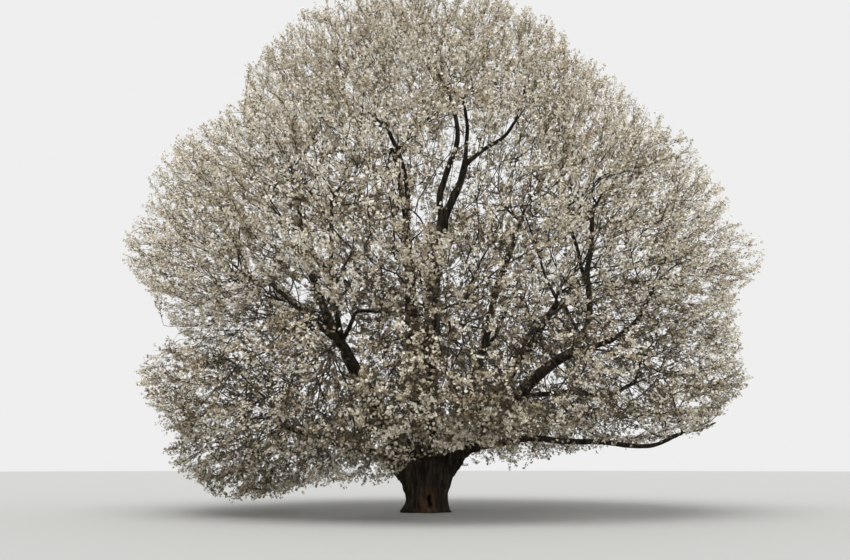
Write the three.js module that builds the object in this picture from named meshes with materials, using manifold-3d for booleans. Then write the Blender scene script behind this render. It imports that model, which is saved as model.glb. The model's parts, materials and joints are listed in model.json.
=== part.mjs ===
// A wide old cherry tree in full white blossom, in millimetres, +Z up, +Y away from the viewer.
// The origin is the middle of the trunk's flat cut at ground level.
import * as THREE from "three";
import { mergeVertices } from "three/addons/utils/BufferGeometryUtils.js";
import Module from "manifold-3d";

const wasm = await Module();
wasm.setup();

// Driving sizes of the whole tree
const gap = 0.3; // between a piece and the one that carries it
const finest = 1; // the smallest detail that a solid keeps
const crownAxis = 500; // the crown's middle lies this far to the right of the trunk's foot

// Trunk
const trunk = {
  height: 2050,
  footRadius: 740,
  waistRadius: 600,
  shoulderRadius: 640,
  waistHeight: 800,
  flareHeight: 330,
  flare: 0.12, // how much more the foot spreads
  lobes: 5,
  lobeDepth: 0.13,
  lobeTurn: 0.6,
  domeFrom: 0.66, // the top rounds off from this share of the height
  dome: 0.87,
  lean: 90, // how far the waist stands to the right of the foot
  sides: 18,
  rings: 6,
};

// Limbs
const limb = {
  step: 1350, // between rings
  sides: 7,
  slim: 115, // a limb thinner than this has fewer sides
  slimSides: 6,
  collar: 0.2, // the share of a limb that grows as one with the trunk, at most
  longestCollar: 900,
  collarSwell: 1.03,
  swell: 0.22, // where it leaves its parent
  swellShare: 0.12,
};

// The crown's outline, seen from the front: how far it reaches to the left and the right at each height
const crown = {
  outline: [
    [400, 6700, 3000],
    [1200, 8300, 4200],
    [2000, 8700, 7800],
    [2900, 9000, 9600],
    [4300, 9500, 10500],
    [5700, 8800, 10400],
    [7000, 9400, 10900],
    [8600, 10050, 11150],
    [10200, 9600, 10300],
    [11700, 8600, 9200],
    [13100, 7000, 7800],
    [14450, 6300, 6000],
    [15750, 5200, 4900],
    [16900, 3300, 3500],
    [17750, 900, 1300],
  ],
  depth: 0.92, // front to back, as a share of left to right
  underside: { left: 380, front: 900, right: 2000, back: 1300 }, // lowest foliage on each side
  vault: { rise: 4200, reach: 6000 }, // the open space under the crown, round the trunk
  heart: [500, 0, 7500],
};

// Openings that the picture looks through, along its own slightly rising line of sight
const openings = [
  { shows: "trunk", at: [150, -6500, 1300], size: [1150, 5800, 1900], rise: 0 },
  { shows: "fork", at: [1900, 0, 12900], size: [1600, 8000, 1150], rise: 0.34 },
];

// Foliage masses: belts round the crown, from the ground up, each with the reach and height of its middle
const allSides = ["right", "back_right", "back", "back_left", "left", "front_left", "front", "front_right"];
const belts = {
  low: {
    sides: allSides,
    reach: { right: 7100, back: 6500, left: 7100, front: 6500 },
    height: { right: 5000, back: 4000, left: 3400, front: 3800 },
  },
  middle: {
    sides: allSides,
    reach: { right: 7350, back: 6600, left: 7200, front: 6300 },
    height: { right: 8700, back: 8300, left: 8600, front: 7900 },
  },
  high: {
    sides: ["right", "back_right", "back_left", "left", "front_left", "front_right"],
    reach: { right: 4900, back: 4500, left: 4600, front: 4400 },
    height: { right: 12200, back: 11900, left: 12300, front: 11600 },
  },
  top: {
    sides: ["right", "back", "left", "front"],
    reach: { right: 2500, back: 2700, left: 2900, front: 2900 },
    height: { right: 14700, back: 14300, left: 14900, front: 14000 },
  },
};
const azimuths = {
  right: 0,
  back_right: 45,
  back: 90,
  back_left: 135,
  left: 180,
  front_left: 225,
  front: 270,
  front_right: 315,
};
const lone = {
  peak: [600, 150, 16000],
  lowest_right: [8100, -900, 2700],
  inner_left: [-900, -1000, 7000],
  inner_right: [2600, -600, 6500],
};

// Twigs, by a seeded rule
const twig = {
  box: 3700, // half the box round a mass's middle in which its tips are sought
  rim: { tries: 1500, depth: 420, spacing: 1500 }, // tips at the crown's surface
  inner: { tries: 300, depth: 9000, spacing: 1600 },
  branches: 3, // at most, from one place
  closest: 0.8, // the cosine between any two of them, at most
  sharpest: -0.2, // the cosine of a twig's turn, at least
  detour: 0.6, // how much a twig shuns a long way round to its stem
  turning: 0.5, // how much it shuns a sharp turn
  hugging: 1.2, // how much it shuns to grow along the crown's surface or inwards
  keepOff: 110, // from the walls of the mass's space
  clearance: 90, // from any limb
  skip: 260, // the stretch at a stem's first node that may lie near its bough
  stagger: 150, // between side branches that leave one place
  neck: 0.4, // a side branch's radius where it leaves, as a share of its own
  tipRadius: 18,
  growth: 2.4, // a limb's radius to this power is the sum of what it carries
};

// Sprays of blossom: thin pointed blades
const spray = {
  neck: 240, // its bare stalk
  widest: 0.6, // where along its length
  breadth: 0.85, // as a share of its length
  thickness: 0.12,
  shortest: 700,
  shorter: 0.88, // from one length that is tried to the next
  longest: 1900,
  standing: 1500, // the longest that stands on a branching place
  keepOff: 30, // from the walls of the mass's space and from limbs
  overhang: 200, // how far its sides may stand out of the crown's outline
  rolls: [-0.3, -0.8, -1.3], // turns about its length that are tried, the way that folds nothing over
  finest: 4, // slivers thinner than this are left out where sprays and twigs join
};

const bark = new THREE.MeshStandardMaterial({ color: 0x4a4038, roughness: 0.95, metalness: 0 });
const blossom = new THREE.MeshStandardMaterial({ color: 0xe6dfd2, roughness: 0.8, metalness: 0 });

const vector = (place) => new THREE.Vector3(...place);

// Numbers from 0 to 1 that are the same on every run
function seeded(seed) {
  let state = seed >>> 0;
  return () => {
    state = (state + 0x6d2b79f5) >>> 0;
    let mixed = Math.imul(state ^ (state >>> 15), 1 | state);
    mixed = (mixed + Math.imul(mixed ^ (mixed >>> 7), 61 | mixed)) ^ mixed;
    return ((mixed ^ (mixed >>> 14)) >>> 0) / 4294967296;
  };
}

// A three.js geometry as a solid that can be cut and joined
function solidOf(geometry) {
  const bare = geometry.clone();
  bare.deleteAttribute("normal");
  bare.deleteAttribute("uv");
  const merged = mergeVertices(bare, 0.01);
  return new wasm.Manifold(
    new wasm.Mesh({
      numProp: 3,
      vertProperties: merged.attributes.position.array,
      triVerts: new Uint32Array(merged.index.array),
    }),
  );
}

// A solid as a geometry, without edges too short to matter
function geometryOf(solid) {
  const mesh = solid.simplify(finest).getMesh();
  const geometry = new THREE.BufferGeometry();
  geometry.setAttribute("position", new THREE.BufferAttribute(Float32Array.from(mesh.vertProperties), 3));
  geometry.setIndex(new THREE.BufferAttribute(Uint32Array.from(mesh.triVerts), 1));
  geometry.computeVertexNormals();
  return geometry;
}

// The main body of a solid, without loose scraps or sealed hollows
function largest(solid) {
  return solid.decompose().reduce((most, piece) => (piece.volume() > most.volume() ? piece : most));
}

// A cylinder, or a cone where it is pointed, whose rings are moved to places of their own.
// Each ring is square to its own direction. The flat ring of a three-sided tube is a spray's widest place.
function ringTube(rings, sides, pointed = false) {
  const tube = new THREE.CylinderGeometry(pointed ? 0 : 1, 1, 1, sides, rings.length - 1);
  const place = tube.attributes.position;
  const frames = ringFrames(rings);
  for (let i = 0; i < place.count; i++) {
    const share = place.getY(i) + 0.5;
    const { at, radius, flat, across, beside } = frames[Math.round(share * (rings.length - 1))];
    const spread = Math.hypot(place.getX(i), place.getZ(i)) || 1;
    const x = place.getX(i) / spread;
    const y = -place.getZ(i) / spread;
    const [sideways, faceways] = flat
      ? [(x / Math.sin(Math.PI / 3)) * flat.breadth, Math.min(0, y) * flat.thickness]
      : [x * radius, y * radius];
    const point = at.clone().addScaledVector(across, sideways).addScaledVector(beside, faceways);
    place.setXYZ(i, point.x, point.y, point.z);
  }
  return tube;
}

// Two directions square to each ring's own, carried from ring to ring without a twist but a ring's own roll
function ringFrames(rings) {
  const carried = new THREE.Vector3(0.3, -0.9, 0.31);
  return rings.map((ring) => {
    carried.addScaledVector(ring.way, -carried.dot(ring.way)).normalize();
    const across = carried.clone().applyAxisAngle(ring.way, ring.roll ?? 0);
    return { ...ring, across, beside: ring.way.clone().cross(across) };
  });
}

// A value that turns smoothly from side to side round the crown
function aroundCrown(sizes, azimuth) {
  const turn = THREE.MathUtils.degToRad(azimuth);
  const across = Math.cos(turn) ** 2;
  return (
    across * (Math.cos(turn) > 0 ? sizes.right : sizes.left) +
    (1 - across) * (Math.sin(turn) > 0 ? sizes.back : sizes.front)
  );
}

function layOutMasses() {
  const middles = {};
  for (const [belt, sizes] of Object.entries(belts)) {
    for (const side of sizes.sides) {
      const turn = THREE.MathUtils.degToRad(azimuths[side]);
      const reach = aroundCrown(sizes.reach, azimuths[side]);
      const height = aroundCrown(sizes.height, azimuths[side]);
      middles[belt + "_" + side] = [crownAxis + reach * Math.cos(turn), reach * Math.sin(turn), height];
    }
  }
  return Object.entries({ ...middles, ...lone }).map(([name, middle], index) => ({
    name: "blossom_" + name,
    centre: vector(middle),
    seed: 101 + index,
  }));
}
const masses = layOutMasses();
const massNamed = (name) => masses.find((mass) => mass.name === "blossom_" + name);

// Where two masses share one bough: halfway between them, drawn in towards the trunk
function seatBetween(first, second, inset) {
  const a = massNamed(first).centre;
  const b = massNamed(second).centre;
  const line = b.clone().sub(a).normalize();
  const middle = a.clone().add(b).multiplyScalar(0.5);
  const inwards = new THREE.Vector3(-middle.x, -middle.y, 0);
  inwards.addScaledVector(line, -inwards.dot(line)).normalize();
  return middle.addScaledVector(inwards, inset);
}

// Boughs that the picture shows. `from` is the limb that each grows from, and the share of its length.
const routes = {
  bough_leader: {
    from: "trunk",
    via: [[90, 0, 1500], [170, 50, 3640], [240, 80, 7000], [620, 80, 9900]],
    radii: [270, 190],
  },
  bough_left: {
    from: "trunk",
    via: [
      [-80, -20, 1250], [-960, -250, 2300], [-1790, -500, 3590], [-2620, -700, 5150],
      [-2860, -780, 5600],
    ],
    radii: [265, 185],
  },
  bough_right: {
    from: "trunk",
    via: [
      [200, -50, 1250], [1820, -150, 2450], [3480, -250, 4160], [4330, -300, 4880], [5100, -300, 5300],
    ],
    radii: [275, 150],
  },
  bough_leader_left: {
    from: "trunk",
    via: [
      [-150, 120, 1450], [-330, 250, 3640], [-520, 200, 6000], [-600, 50, 9100], [-740, -100, 11600],
      [-1250, -250, 12900],
    ],
    radii: [190, 65],
    feeds: ["top_left"],
  },
  bough_leader_right: {
    from: "trunk",
    via: [
      [250, 200, 1450], [1350, 450, 3700], [2050, 700, 5600], [2500, 1000, 7500], [3400, 1500, 10000],
    ],
    radii: [185, 75],
    feeds: ["high_back_right"],
  },
  bough_low_left: {
    from: "trunk",
    via: [[-150, -120, 1050], [-1300, -380, 1800], [-2800, -500, 2200], [-4450, -450, 2700]],
    radii: [140, 80],
    feeds: ["low_left"],
  },
  bough_low_right: {
    from: ["bough_right", 0.2],
    via: [
      [3100, -420, 2330], [4600, -500, 2290], [6050, -500, 2200], [7350, -450, 2130],
      [8300, -400, 2500],
    ],
    radii: [125, 60],
    feeds: ["lowest_right"],
  },
  bough_right_low: {
    from: ["bough_right", 0.6],
    via: [[4900, 150, 3900], [6240, 350, 3840], [7000, 450, 4200]],
    radii: [95, 58],
    feeds: ["low_right"],
  },
  bough_left_rise: {
    from: ["bough_left", 0.97],
    via: [[-3300, -780, 6500], [-3650, -700, 7400], [-4080, -600, 8600], [-4300, -450, 10300]],
    radii: [140, 75],
    feeds: ["high_left"],
  },
  bough_left_out: {
    from: ["bough_left", 0.95],
    via: [[-3900, -650, 6400], [-5150, -300, 7500]],
    radii: [115, 70],
    feeds: ["middle_left"],
  },
  bough_left_front: {
    from: ["bough_left", 0.93],
    via: [[-3000, -1800, 7300], [-2950, -2650, 9600]],
    radii: [100, 60],
    feeds: ["high_front_left"],
  },
  bough_left_crook: {
    from: ["bough_left", 0.96],
    via: [[-2420, -880, 6150], [-2280, -950, 6420], [-1500, -1150, 6450]],
    radii: [75, 50],
    feeds: ["inner_left"],
  },
  bough_fork_left: {
    from: ["bough_leader", 0.98],
    via: [[520, 120, 10700], [770, 150, 11600], [1150, 200, 12900], [900, 150, 14300]],
    radii: [130, 60],
    feeds: ["peak"],
  },
  bough_fork_right: {
    from: ["bough_leader", 0.975],
    via: [[1000, 40, 10650], [1200, 20, 11100], [1430, 0, 12000]],
    radii: [135, 105],
  },
  bough_fork_up: {
    from: ["bough_fork_right", 0.96],
    via: [[1440, -60, 12500], [1480, -350, 13000], [1300, -1300, 13600]],
    radii: [75, 50],
    feeds: ["top_front"],
  },
  bough_fork_out: {
    from: ["bough_fork_right", 0.9],
    via: [[2170, -50, 12390], [2800, -100, 12800], [3120, -150, 13270]],
    radii: [80, 52],
    feeds: ["top_right"],
  },
  bough_right_rise: {
    from: ["bough_right", 0.97],
    via: [[5500, -300, 6330], [5480, -280, 7980], [5650, -200, 8780], [5760, -100, 9980]],
    radii: [120, 70],
    feeds: ["high_right"],
  },
  bough_right_out: {
    from: ["bough_right", 0.95],
    via: [[6300, -250, 5650], [7150, -200, 6300], [7600, -150, 7150]],
    radii: [105, 62],
    feeds: ["middle_right"],
  },
  bough_right_front: {
    from: ["bough_right_rise", 0.45],
    via: [[5000, -1400, 8500], [4550, -2200, 9600]],
    radii: [72, 48],
    feeds: ["high_front_right"],
  },
  bough_inner_right: {
    from: ["bough_leader_right", 0.42],
    via: [[2500, -100, 6100], [2850, -500, 6900]],
    radii: [70, 45],
    feeds: ["inner_right"],
  },
};

// Boughs on the sides that the picture hides or shows head-on each carry a low and a middle mass
const paired = {
  sides: ["front_left", "front", "front_right", "back_right", "back", "back_left"],
  inset: 1750, // of the tip, from the line between the middles of its masses
  start: [120, 1300], // distance from the trunk's middle, and height
  knee: [1150, 2500],
  bend: { share: 0.6, height: 4000 },
  radii: [160, 85],
};
for (const side of paired.sides) {
  const turn = THREE.MathUtils.degToRad(azimuths[side]);
  const feeds = ["low_" + side, "middle_" + side];
  const tip = seatBetween(...feeds, paired.inset);
  const outwards = ([distance, height]) => [distance * Math.cos(turn), distance * Math.sin(turn), height];
  const bend = [tip.x * paired.bend.share, tip.y * paired.bend.share, paired.bend.height];
  routes["bough_" + side] = {
    from: "trunk",
    via: [outwards(paired.start), outwards(paired.knee), bend, tip.toArray()],
    radii: paired.radii,
    feeds,
  };
}
const highBack = ["high_back_left", "top_back"];
routes.bough_back_rise = {
  from: "trunk",
  via: [[-60, 200, 1500], [-350, 1050, 4200], [-450, 1500, 8000], seatBetween(...highBack, 1500).toArray()],
  radii: [165, 75],
  feeds: highBack,
};

// The line of a limb and how its radius falls along it. A child starts inside its parent.
function layOutLimbs() {
  const laid = {};
  for (const [name, { from, via, radii, feeds = [] }] of Object.entries(routes)) {
    const points = via.map(vector);
    const parent = from === "trunk" ? from : from[0];
    if (parent !== "trunk") points.unshift(laid[parent].curve.getPointAt(from[1]));
    const curve = new THREE.CatmullRomCurve3(points, false, "centripetal");
    const length = curve.getLength();
    const swelling = (share) => 1 + limb.swell * Math.max(0, 1 - share / limb.swellShare) ** 2;
    const radiusAt = (share) => THREE.MathUtils.lerp(radii[0], radii[1], share) * swelling(share);
    const steps = Math.max(3, Math.round(length / limb.step));
    const collar = parent === "trunk" ? Math.min(limb.collar, limb.longestCollar / length) : 0;
    laid[name] = { name, parent, feeds, curve, steps, radiusAt, length, collar };
  }
  return Object.values(laid);
}
const limbs = layOutLimbs();

// The trunk leans a little, spreads at the foot in lobes and widens again under its limbs
function trunkRadius(height, turn) {
  const foot = Math.max(0, 1 - height / trunk.flareHeight) ** 2;
  const spread = Math.max(0, 1 - height / trunk.waistHeight) ** 2;
  const shoulder = THREE.MathUtils.smoothstep(height, trunk.waistHeight, trunk.height * 0.8);
  const lobes = trunk.lobeDepth * Math.cos(trunk.lobes * turn + trunk.lobeTurn) * (0.35 + 0.65 * spread);
  const plain =
    trunk.waistRadius +
    (trunk.footRadius - trunk.waistRadius) * spread +
    (trunk.shoulderRadius - trunk.waistRadius) * shoulder;
  return plain * (1 + lobes + trunk.flare * foot);
}

function trunkSolid(extra) {
  const core = new THREE.CylinderGeometry(1, 1, 1, trunk.sides, trunk.rings);
  const place = core.attributes.position;
  for (let i = 0; i < place.count; i++) {
    const share = place.getY(i) + 0.5;
    const height = trunk.height * share;
    const x = place.getX(i);
    const y = -place.getZ(i);
    const overTop = Math.max(0, share - trunk.domeFrom) / (1 - trunk.domeFrom);
    const dome = Math.sqrt(1 - trunk.dome * overTop ** 2);
    const radius = trunkRadius(height, Math.atan2(y, x)) * dome + extra;
    const lean = trunk.lean * Math.min(1, height / trunk.waistHeight);
    const up = height + (share === 1 ? extra : share === 0 ? -extra : 0);
    place.setXYZ(i, x * radius + lean, y * radius, up);
  }
  const collared = limbs.filter((one) => one.collar > 0);
  const collars = collared.map((one) => tubeSolid(one, 0, one.collar, 1, extra, limb.collarSwell));
  return largest(wasm.Manifold.union([solidOf(core), ...collars]));
}

// A stretch of a limb as a solid, `extra` thicker and longer than life
function tubeSolid(one, fromShare, toShare, steps, extra, swell = 1) {
  const rings = [];
  for (let i = 0; i <= steps; i++) {
    const share = THREE.MathUtils.lerp(fromShare, toShare, i / steps);
    const radius = one.radiusAt(share) * swell + extra;
    rings.push({ at: one.curve.getPointAt(share), way: one.curve.getTangentAt(share), radius });
  }
  rings[0].at.addScaledVector(rings[0].way, -extra);
  rings[steps].at.addScaledVector(rings[steps].way, extra);
  return solidOf(ringTube(rings, one.radiusAt(0.5) > limb.slim ? limb.sides : limb.slimSides));
}

// A limb starts where its collar ends, or inside its parent, and is cut clear of what it would overlap
function carveLimbs() {
  const carved = {};
  const taken = { trunk: trunkSolid(gap) };
  for (const one of limbs) {
    const start = one.collar && one.collar + gap / one.length;
    let solid = tubeSolid(one, start, 1, one.steps, 0);
    const kin = limbs.filter((other) => other.name === one.parent || other.parent === one.parent);
    const made = kin.filter((other) => carved[other.name]).map((other) => other.name);
    for (const name of ["trunk", ...made]) solid = solid.subtract(taken[name]);
    carved[one.name] = largest(solid);
    taken[one.name] = tubeSolid(one, start, 1, one.steps, gap);
  }
  return carved;
}

// The shortest way between two straight stretches
function between(a, b, c, d) {
  const u = b.clone().sub(a);
  const v = d.clone().sub(c);
  const w = a.clone().sub(c);
  const uu = u.dot(u);
  const uv = u.dot(v);
  const vv = v.dot(v);
  const uw = u.dot(w);
  const vw = v.dot(w);
  const square = uu * vv - uv * uv;
  let s = square > 1e-6 ? THREE.MathUtils.clamp((uv * vw - vv * uw) / square, 0, 1) : 0;
  let t = vv > 1e-6 ? (uv * s + vw) / vv : 0;
  if (t < 0 || t > 1) {
    t = THREE.MathUtils.clamp(t, 0, 1);
    s = uu > 1e-6 ? THREE.MathUtils.clamp((uv * t - uw) / uu, 0, 1) : 0;
  }
  return w.addScaledVector(u, s).addScaledVector(v, -t).length();
}

// Straight stretches of every limb, with the thickest radius of each
function limbStretches() {
  const top = new THREE.Vector3(trunk.lean, 0, trunk.height);
  const ofLimbs = limbs.flatMap((one) => {
    const points = one.curve.getSpacedPoints(one.steps);
    return points.slice(1).map((to, i) => ({ from: points[i], to, radius: one.radiusAt(i / one.steps) }));
  });
  return [{ from: new THREE.Vector3(), to: top, radius: trunk.footRadius }, ...ofLimbs];
}
const stretches = limbStretches();

function clearOfLimbs(a, b, keep) {
  return stretches.every((one) => between(a, b, one.from, one.to) > one.radius + keep);
}

// Whether a place lies inside the crown's outline, over its vault and outside the openings
function inCrown(point) {
  const turn = Math.atan2(point.y, point.x);
  const radius = Math.hypot(point.x, point.y);
  const above = crown.outline.findIndex((row) => row[0] > point.z);
  if (above < 1) return false;
  const [low, high] = [crown.outline[above - 1], crown.outline[above]];
  const share = (point.z - low[0]) / (high[0] - low[0]);
  const [left, right] = [1, 2].map((side) => THREE.MathUtils.lerp(low[side], high[side], share));
  const depth = (crown.depth * (left + right)) / 2;
  const reach = 1 / Math.hypot(Math.cos(turn) / (point.x < 0 ? left : right), Math.sin(turn) / depth);
  const lowest = aroundCrown(crown.underside, THREE.MathUtils.radToDeg(turn));
  const vault = crown.vault.rise * Math.max(0, 1 - radius / crown.vault.reach) ** 2;
  return radius < reach && point.z > lowest + vault && openings.every((one) => !inOpening(one, point));
}

function inOpening(opening, point) {
  const offset = point.clone().sub(vector(opening.at));
  offset.z -= opening.rise * offset.y;
  return offset.divide(vector(opening.size)).length() < 1;
}

// A mass's space reaches halfway to each of its neighbours
function inSpace(mass, point, keep) {
  const own = point.distanceToSquared(mass.centre);
  return masses.every((other) => {
    const apart = other.centre.distanceTo(mass.centre);
    return other === mass || (point.distanceToSquared(other.centre) - own) / (2 * apart) > keep;
  });
}

// Tips are scattered through the mass's space near the crown's surface, no two near each other
function scatterTips(mass, random) {
  const tips = [];
  const heart = vector(crown.heart);
  for (const { tries, depth, spacing } of [twig.rim, twig.inner]) {
    for (let i = 0; i < tries; i++) {
      const offset = [random(), random(), random()].map((share) => (2 * share - 1) * twig.box);
      const tip = vector(offset).add(mass.centre);
      const beyond = tip.clone().sub(heart).setLength(depth).add(tip);
      if (!inCrown(tip) || inCrown(beyond) || !inSpace(mass, tip, twig.keepOff)) continue;
      if (!clearOfLimbs(tip, tip, twig.clearance * 3)) continue;
      if (tips.every((other) => other.distanceTo(tip) > spacing)) tips.push(tip);
    }
  }
  return tips;
}

// A stem starts at its bough's tip, set to its own side where two masses share the tip
function stemOf(mass) {
  const carrier = limbs.find((one) => one.feeds.some((name) => massNamed(name) === mass));
  const shared = carrier.feeds.length > 1;
  const way = carrier.curve.getTangentAt(1);
  const radius = carrier.radiusAt(1) * (shared ? 0.42 : 0.7);
  const start = carrier.curve.getPointAt(1).addScaledVector(way, gap);
  const onwards = way.clone();
  if (shared) {
    const [one, other] = carrier.feeds.map((name) => massNamed(name).centre);
    const across = one.clone().sub(other).normalize().multiplyScalar(mass.centre === one ? 1 : -1);
    const aside = across.clone().addScaledVector(way, -across.dot(way)).normalize();
    start.addScaledVector(aside, (radius + 20) / aside.dot(across));
    onwards.addScaledVector(aside, 1.5).normalize();
  }
  return { start, way, radius, first: start.clone().addScaledVector(onwards, radius * 3) };
}

// Each tip, nearest first, joins the twig that makes the shortest way back to the stem
function growTwigs(mass) {
  const { start, way, radius, first } = stemOf(mass);
  const nodes = [
    { at: start, parent: -1, path: 0, ways: [] },
    { at: first, parent: 0, path: radius * 3, ways: [] },
  ];
  const tips = scatterTips(mass, seeded(mass.seed));
  tips.sort((a, b) => a.distanceTo(first) - b.distanceTo(first));
  for (const tip of tips) {
    let best = null;
    for (let index = 1; index < nodes.length; index++) {
      const node = nodes[index];
      const away = tip.clone().sub(node.at);
      const reach = away.length();
      away.divideScalar(reach);
      const bearing = node.at.clone().sub(nodes[node.parent].at).normalize().dot(away);
      const outwards = tip.clone().sub(vector(crown.heart)).normalize().dot(away);
      const bend = twig.turning * (1 - bearing) + twig.hugging * (1 - outwards);
      const cost = reach * (1 + bend) + twig.detour * node.path;
      if (best && cost >= best.cost) continue;
      if (bearing < twig.sharpest || node.ways.length >= twig.branches) continue;
      if (node.ways.some((other) => other.dot(away) > twig.closest)) continue;
      const from = node.at.clone().addScaledVector(away, index === 1 ? twig.skip : 0);
      if (clearOfLimbs(from, tip, twig.clearance)) best = { cost, index, reach, away };
    }
    if (!best) continue;
    nodes[best.index].ways.push(best.away);
    nodes.push({ at: tip, parent: best.index, path: nodes[best.index].path + best.reach, ways: [] });
  }
  for (const node of nodes) node.load = 1;
  for (let i = nodes.length - 1; i > 0; i--) nodes[nodes[i].parent].load += nodes[i].load;
  for (const node of nodes) {
    node.radius = Math.max(twig.tipRadius, radius * (node.load / nodes[0].load) ** (1 / twig.growth));
  }
  return { nodes, way };
}

// The thin neck of a spray that leaves the side of a twig
function neckRings(root, way) {
  return [
    { at: root, way, radius: twig.tipRadius * twig.neck },
    { at: root.clone().addScaledVector(way, spray.neck), way, radius: twig.tipRadius },
  ];
}

// A spray's rings at its widest place and its tip
function bladeRings(root, way, length, roll) {
  const flat = { breadth: (spray.breadth * length) / 2, thickness: spray.thickness * length };
  const along = (distance) => root.clone().addScaledVector(way, distance);
  return [{ at: along(spray.widest * length), way, flat, roll }, { at: along(length), way, radius: 0 }];
}

function sprayCorners(root, rings) {
  const [widest, tip] = ringFrames(rings).slice(-2);
  const { breadth, thickness } = widest.flat;
  return {
    start: root.clone().addScaledVector(tip.way, spray.neck),
    tip: tip.at,
    left: widest.at.clone().addScaledVector(widest.across, breadth),
    right: widest.at.clone().addScaledVector(widest.across, -breadth),
    face: widest.at.clone().addScaledVector(widest.beside, -thickness),
    thickness,
  };
}

// Whether an edge of one spray runs through the face of another, their roots left out
function pierces(one, other) {
  const corners = [one.start, one.left, one.tip, one.right, one.start, one.tip];
  const ray = new THREE.Ray();
  return corners.slice(1).some((to, i) => {
    ray.set(corners[i], to.clone().sub(corners[i]).normalize());
    return [other.left, other.right].some((side) => {
      const hit = ray.intersectTriangle(other.start, other.tip, side, false, new THREE.Vector3());
      return hit && hit.distanceTo(corners[i]) < to.distanceTo(corners[i]);
    });
  });
}

function sprayFits(mass, corners, others) {
  const { start, tip, left, right, face, thickness } = corners;
  const drawnIn = (point) => point.clone().add(vector(crown.heart).sub(point).setLength(spray.overhang));
  return (
    [tip, face, drawnIn(left), drawnIn(right)].every(inCrown) &&
    [tip, left, right, face].every((point) => inSpace(mass, point, spray.keepOff)) &&
    others.every((other) => !pierces(corners, other) && !pierces(other, corners)) &&
    clearOfLimbs(start, tip, thickness + spray.keepOff) &&
    clearOfLimbs(left, right, thickness + spray.keepOff)
  );
}

// A twig's rings with the longest spray that fits at its end, over several turns about its length
function withSpray(mass, twigRings, root, way, longest, others) {
  for (let length = longest; length >= spray.shortest; length *= spray.shorter) {
    for (const roll of spray.rolls) {
      const rings = [...twigRings, ...bladeRings(root, way, length, roll)];
      const corners = sprayCorners(root, rings);
      if (!sprayFits(mass, corners, others)) continue;
      others.push(corners);
      return rings;
    }
  }
  return null;
}

// Runs of twig from the stem outwards, each following its straightest branch to the end
function twigRuns(nodes) {
  const wayInto = (index) => nodes[index].at.clone().sub(nodes[nodes[index].parent].at).normalize();
  const heir = nodes.map((node, index) => {
    const branches = nodes.flatMap((other, i) => (other.parent === index ? [i] : []));
    if (index === 0) return 1;
    return branches.sort((a, b) => wayInto(b).dot(wayInto(index)) - wayInto(a).dot(wayInto(index)))[0] ?? 0;
  });
  const runs = [];
  for (let i = 1; i < nodes.length; i++) {
    if (i > 1 && heir[nodes[i].parent] === i) continue;
    const run = [nodes[i].parent];
    for (let at = i; at; at = heir[at]) run.push(at);
    runs.push(run);
  }
  return { runs, heir };
}

// Side branches leave a little before a branching place, one behind the other
function sideStart(node) {
  const back = node.cameFrom.clone().sub(node.at);
  node.sides = (node.sides ?? 0) + 1;
  return node.at.clone().add(back.setLength(Math.min(0.25 * back.length(), twig.stagger) * node.sides));
}

// A run of twig as a three-sided tube that ends in a spray
function runSolid(mass, nodes, run, stemWay, sprays) {
  const start = run[0] === 0 ? nodes[0].at : sideStart(nodes[run[0]]);
  run.slice(1).forEach((index, i) => {
    nodes[index].cameFrom = i === 0 ? start : nodes[run[i]].at;
  });
  const last = nodes[run.at(-1)].at;
  const before = run.length > 2 ? nodes[run.at(-2)].at : start;
  const way = last.clone().sub(before).normalize();
  const apart = last.distanceTo(before);
  const bare = apart > spray.longest + spray.neck;
  const reach = bare ? spray.longest : apart;
  const root = last.clone().addScaledVector(way, -reach);
  const rings = run.slice(0, -1).map((index) => ({ at: nodes[index].at, radius: nodes[index].radius }));
  rings[0].at = start;
  rings.forEach((ring, i) => {
    const next = nodes[run[i + 1]].at;
    ring.way = next.clone().sub(rings[Math.max(0, i - 1)].at).normalize();
  });
  if (run[0] === 0) rings[0].way = stemWay;
  else rings[0].radius = nodes[run[1]].radius * twig.neck;
  const seat = { at: root, way, radius: Math.max(rings.at(-1).radius, twig.tipRadius) };
  const twigRings = bare ? [...rings, seat] : rings.length > 1 ? rings : neckRings(root, way);
  const sprayed = withSpray(mass, twigRings, root, way, reach, sprays);
  if (sprayed) return solidOf(ringTube(sprayed, 3, true));
  return rings.length > 1 ? solidOf(ringTube(rings, 3)) : null;
}

function massSolid(mass) {
  const { nodes, way } = growTwigs(mass);
  const { runs, heir } = twigRuns(nodes);
  const sprays = [];
  const pieces = runs.map((run) => runSolid(mass, nodes, run, way, sprays));
  nodes.forEach((node, index) => {
    if (index < 2 || !heir[index]) return;
    const before = node.at.clone().sub(nodes[node.parent].at).normalize();
    const onwards = node.at.clone().sub(vector(crown.heart)).normalize().add(before).normalize();
    if (node.ways.some((way) => way.dot(onwards) > twig.closest)) return;
    const root = sideStart(node);
    const sprayed = withSpray(mass, neckRings(root, onwards), root, onwards, spray.standing, sprays);
    if (sprayed) pieces.push(solidOf(ringTube(sprayed, 3, true)));
  });
  return largest(wasm.Manifold.union(pieces.filter(Boolean)).simplify(spray.finest));
}

function named(name, solid, material) {
  const mesh = new THREE.Mesh(geometryOf(solid), material);
  mesh.name = name;
  return mesh;
}

const tree = new THREE.Group();
tree.name = "cherry_tree";
tree.add(named("trunk", trunkSolid(0), bark));
for (const [name, solid] of Object.entries(carveLimbs())) tree.add(named(name, solid, bark));
for (const mass of masses) tree.add(named(mass.name, massSolid(mass), blossom));

export default tree;
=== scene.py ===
# A wide old cherry tree in full white blossom, in metres, +Z up, +Y away from the viewer.
import bpy
import json
import math
import numpy as np
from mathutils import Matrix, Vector, noise

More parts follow.
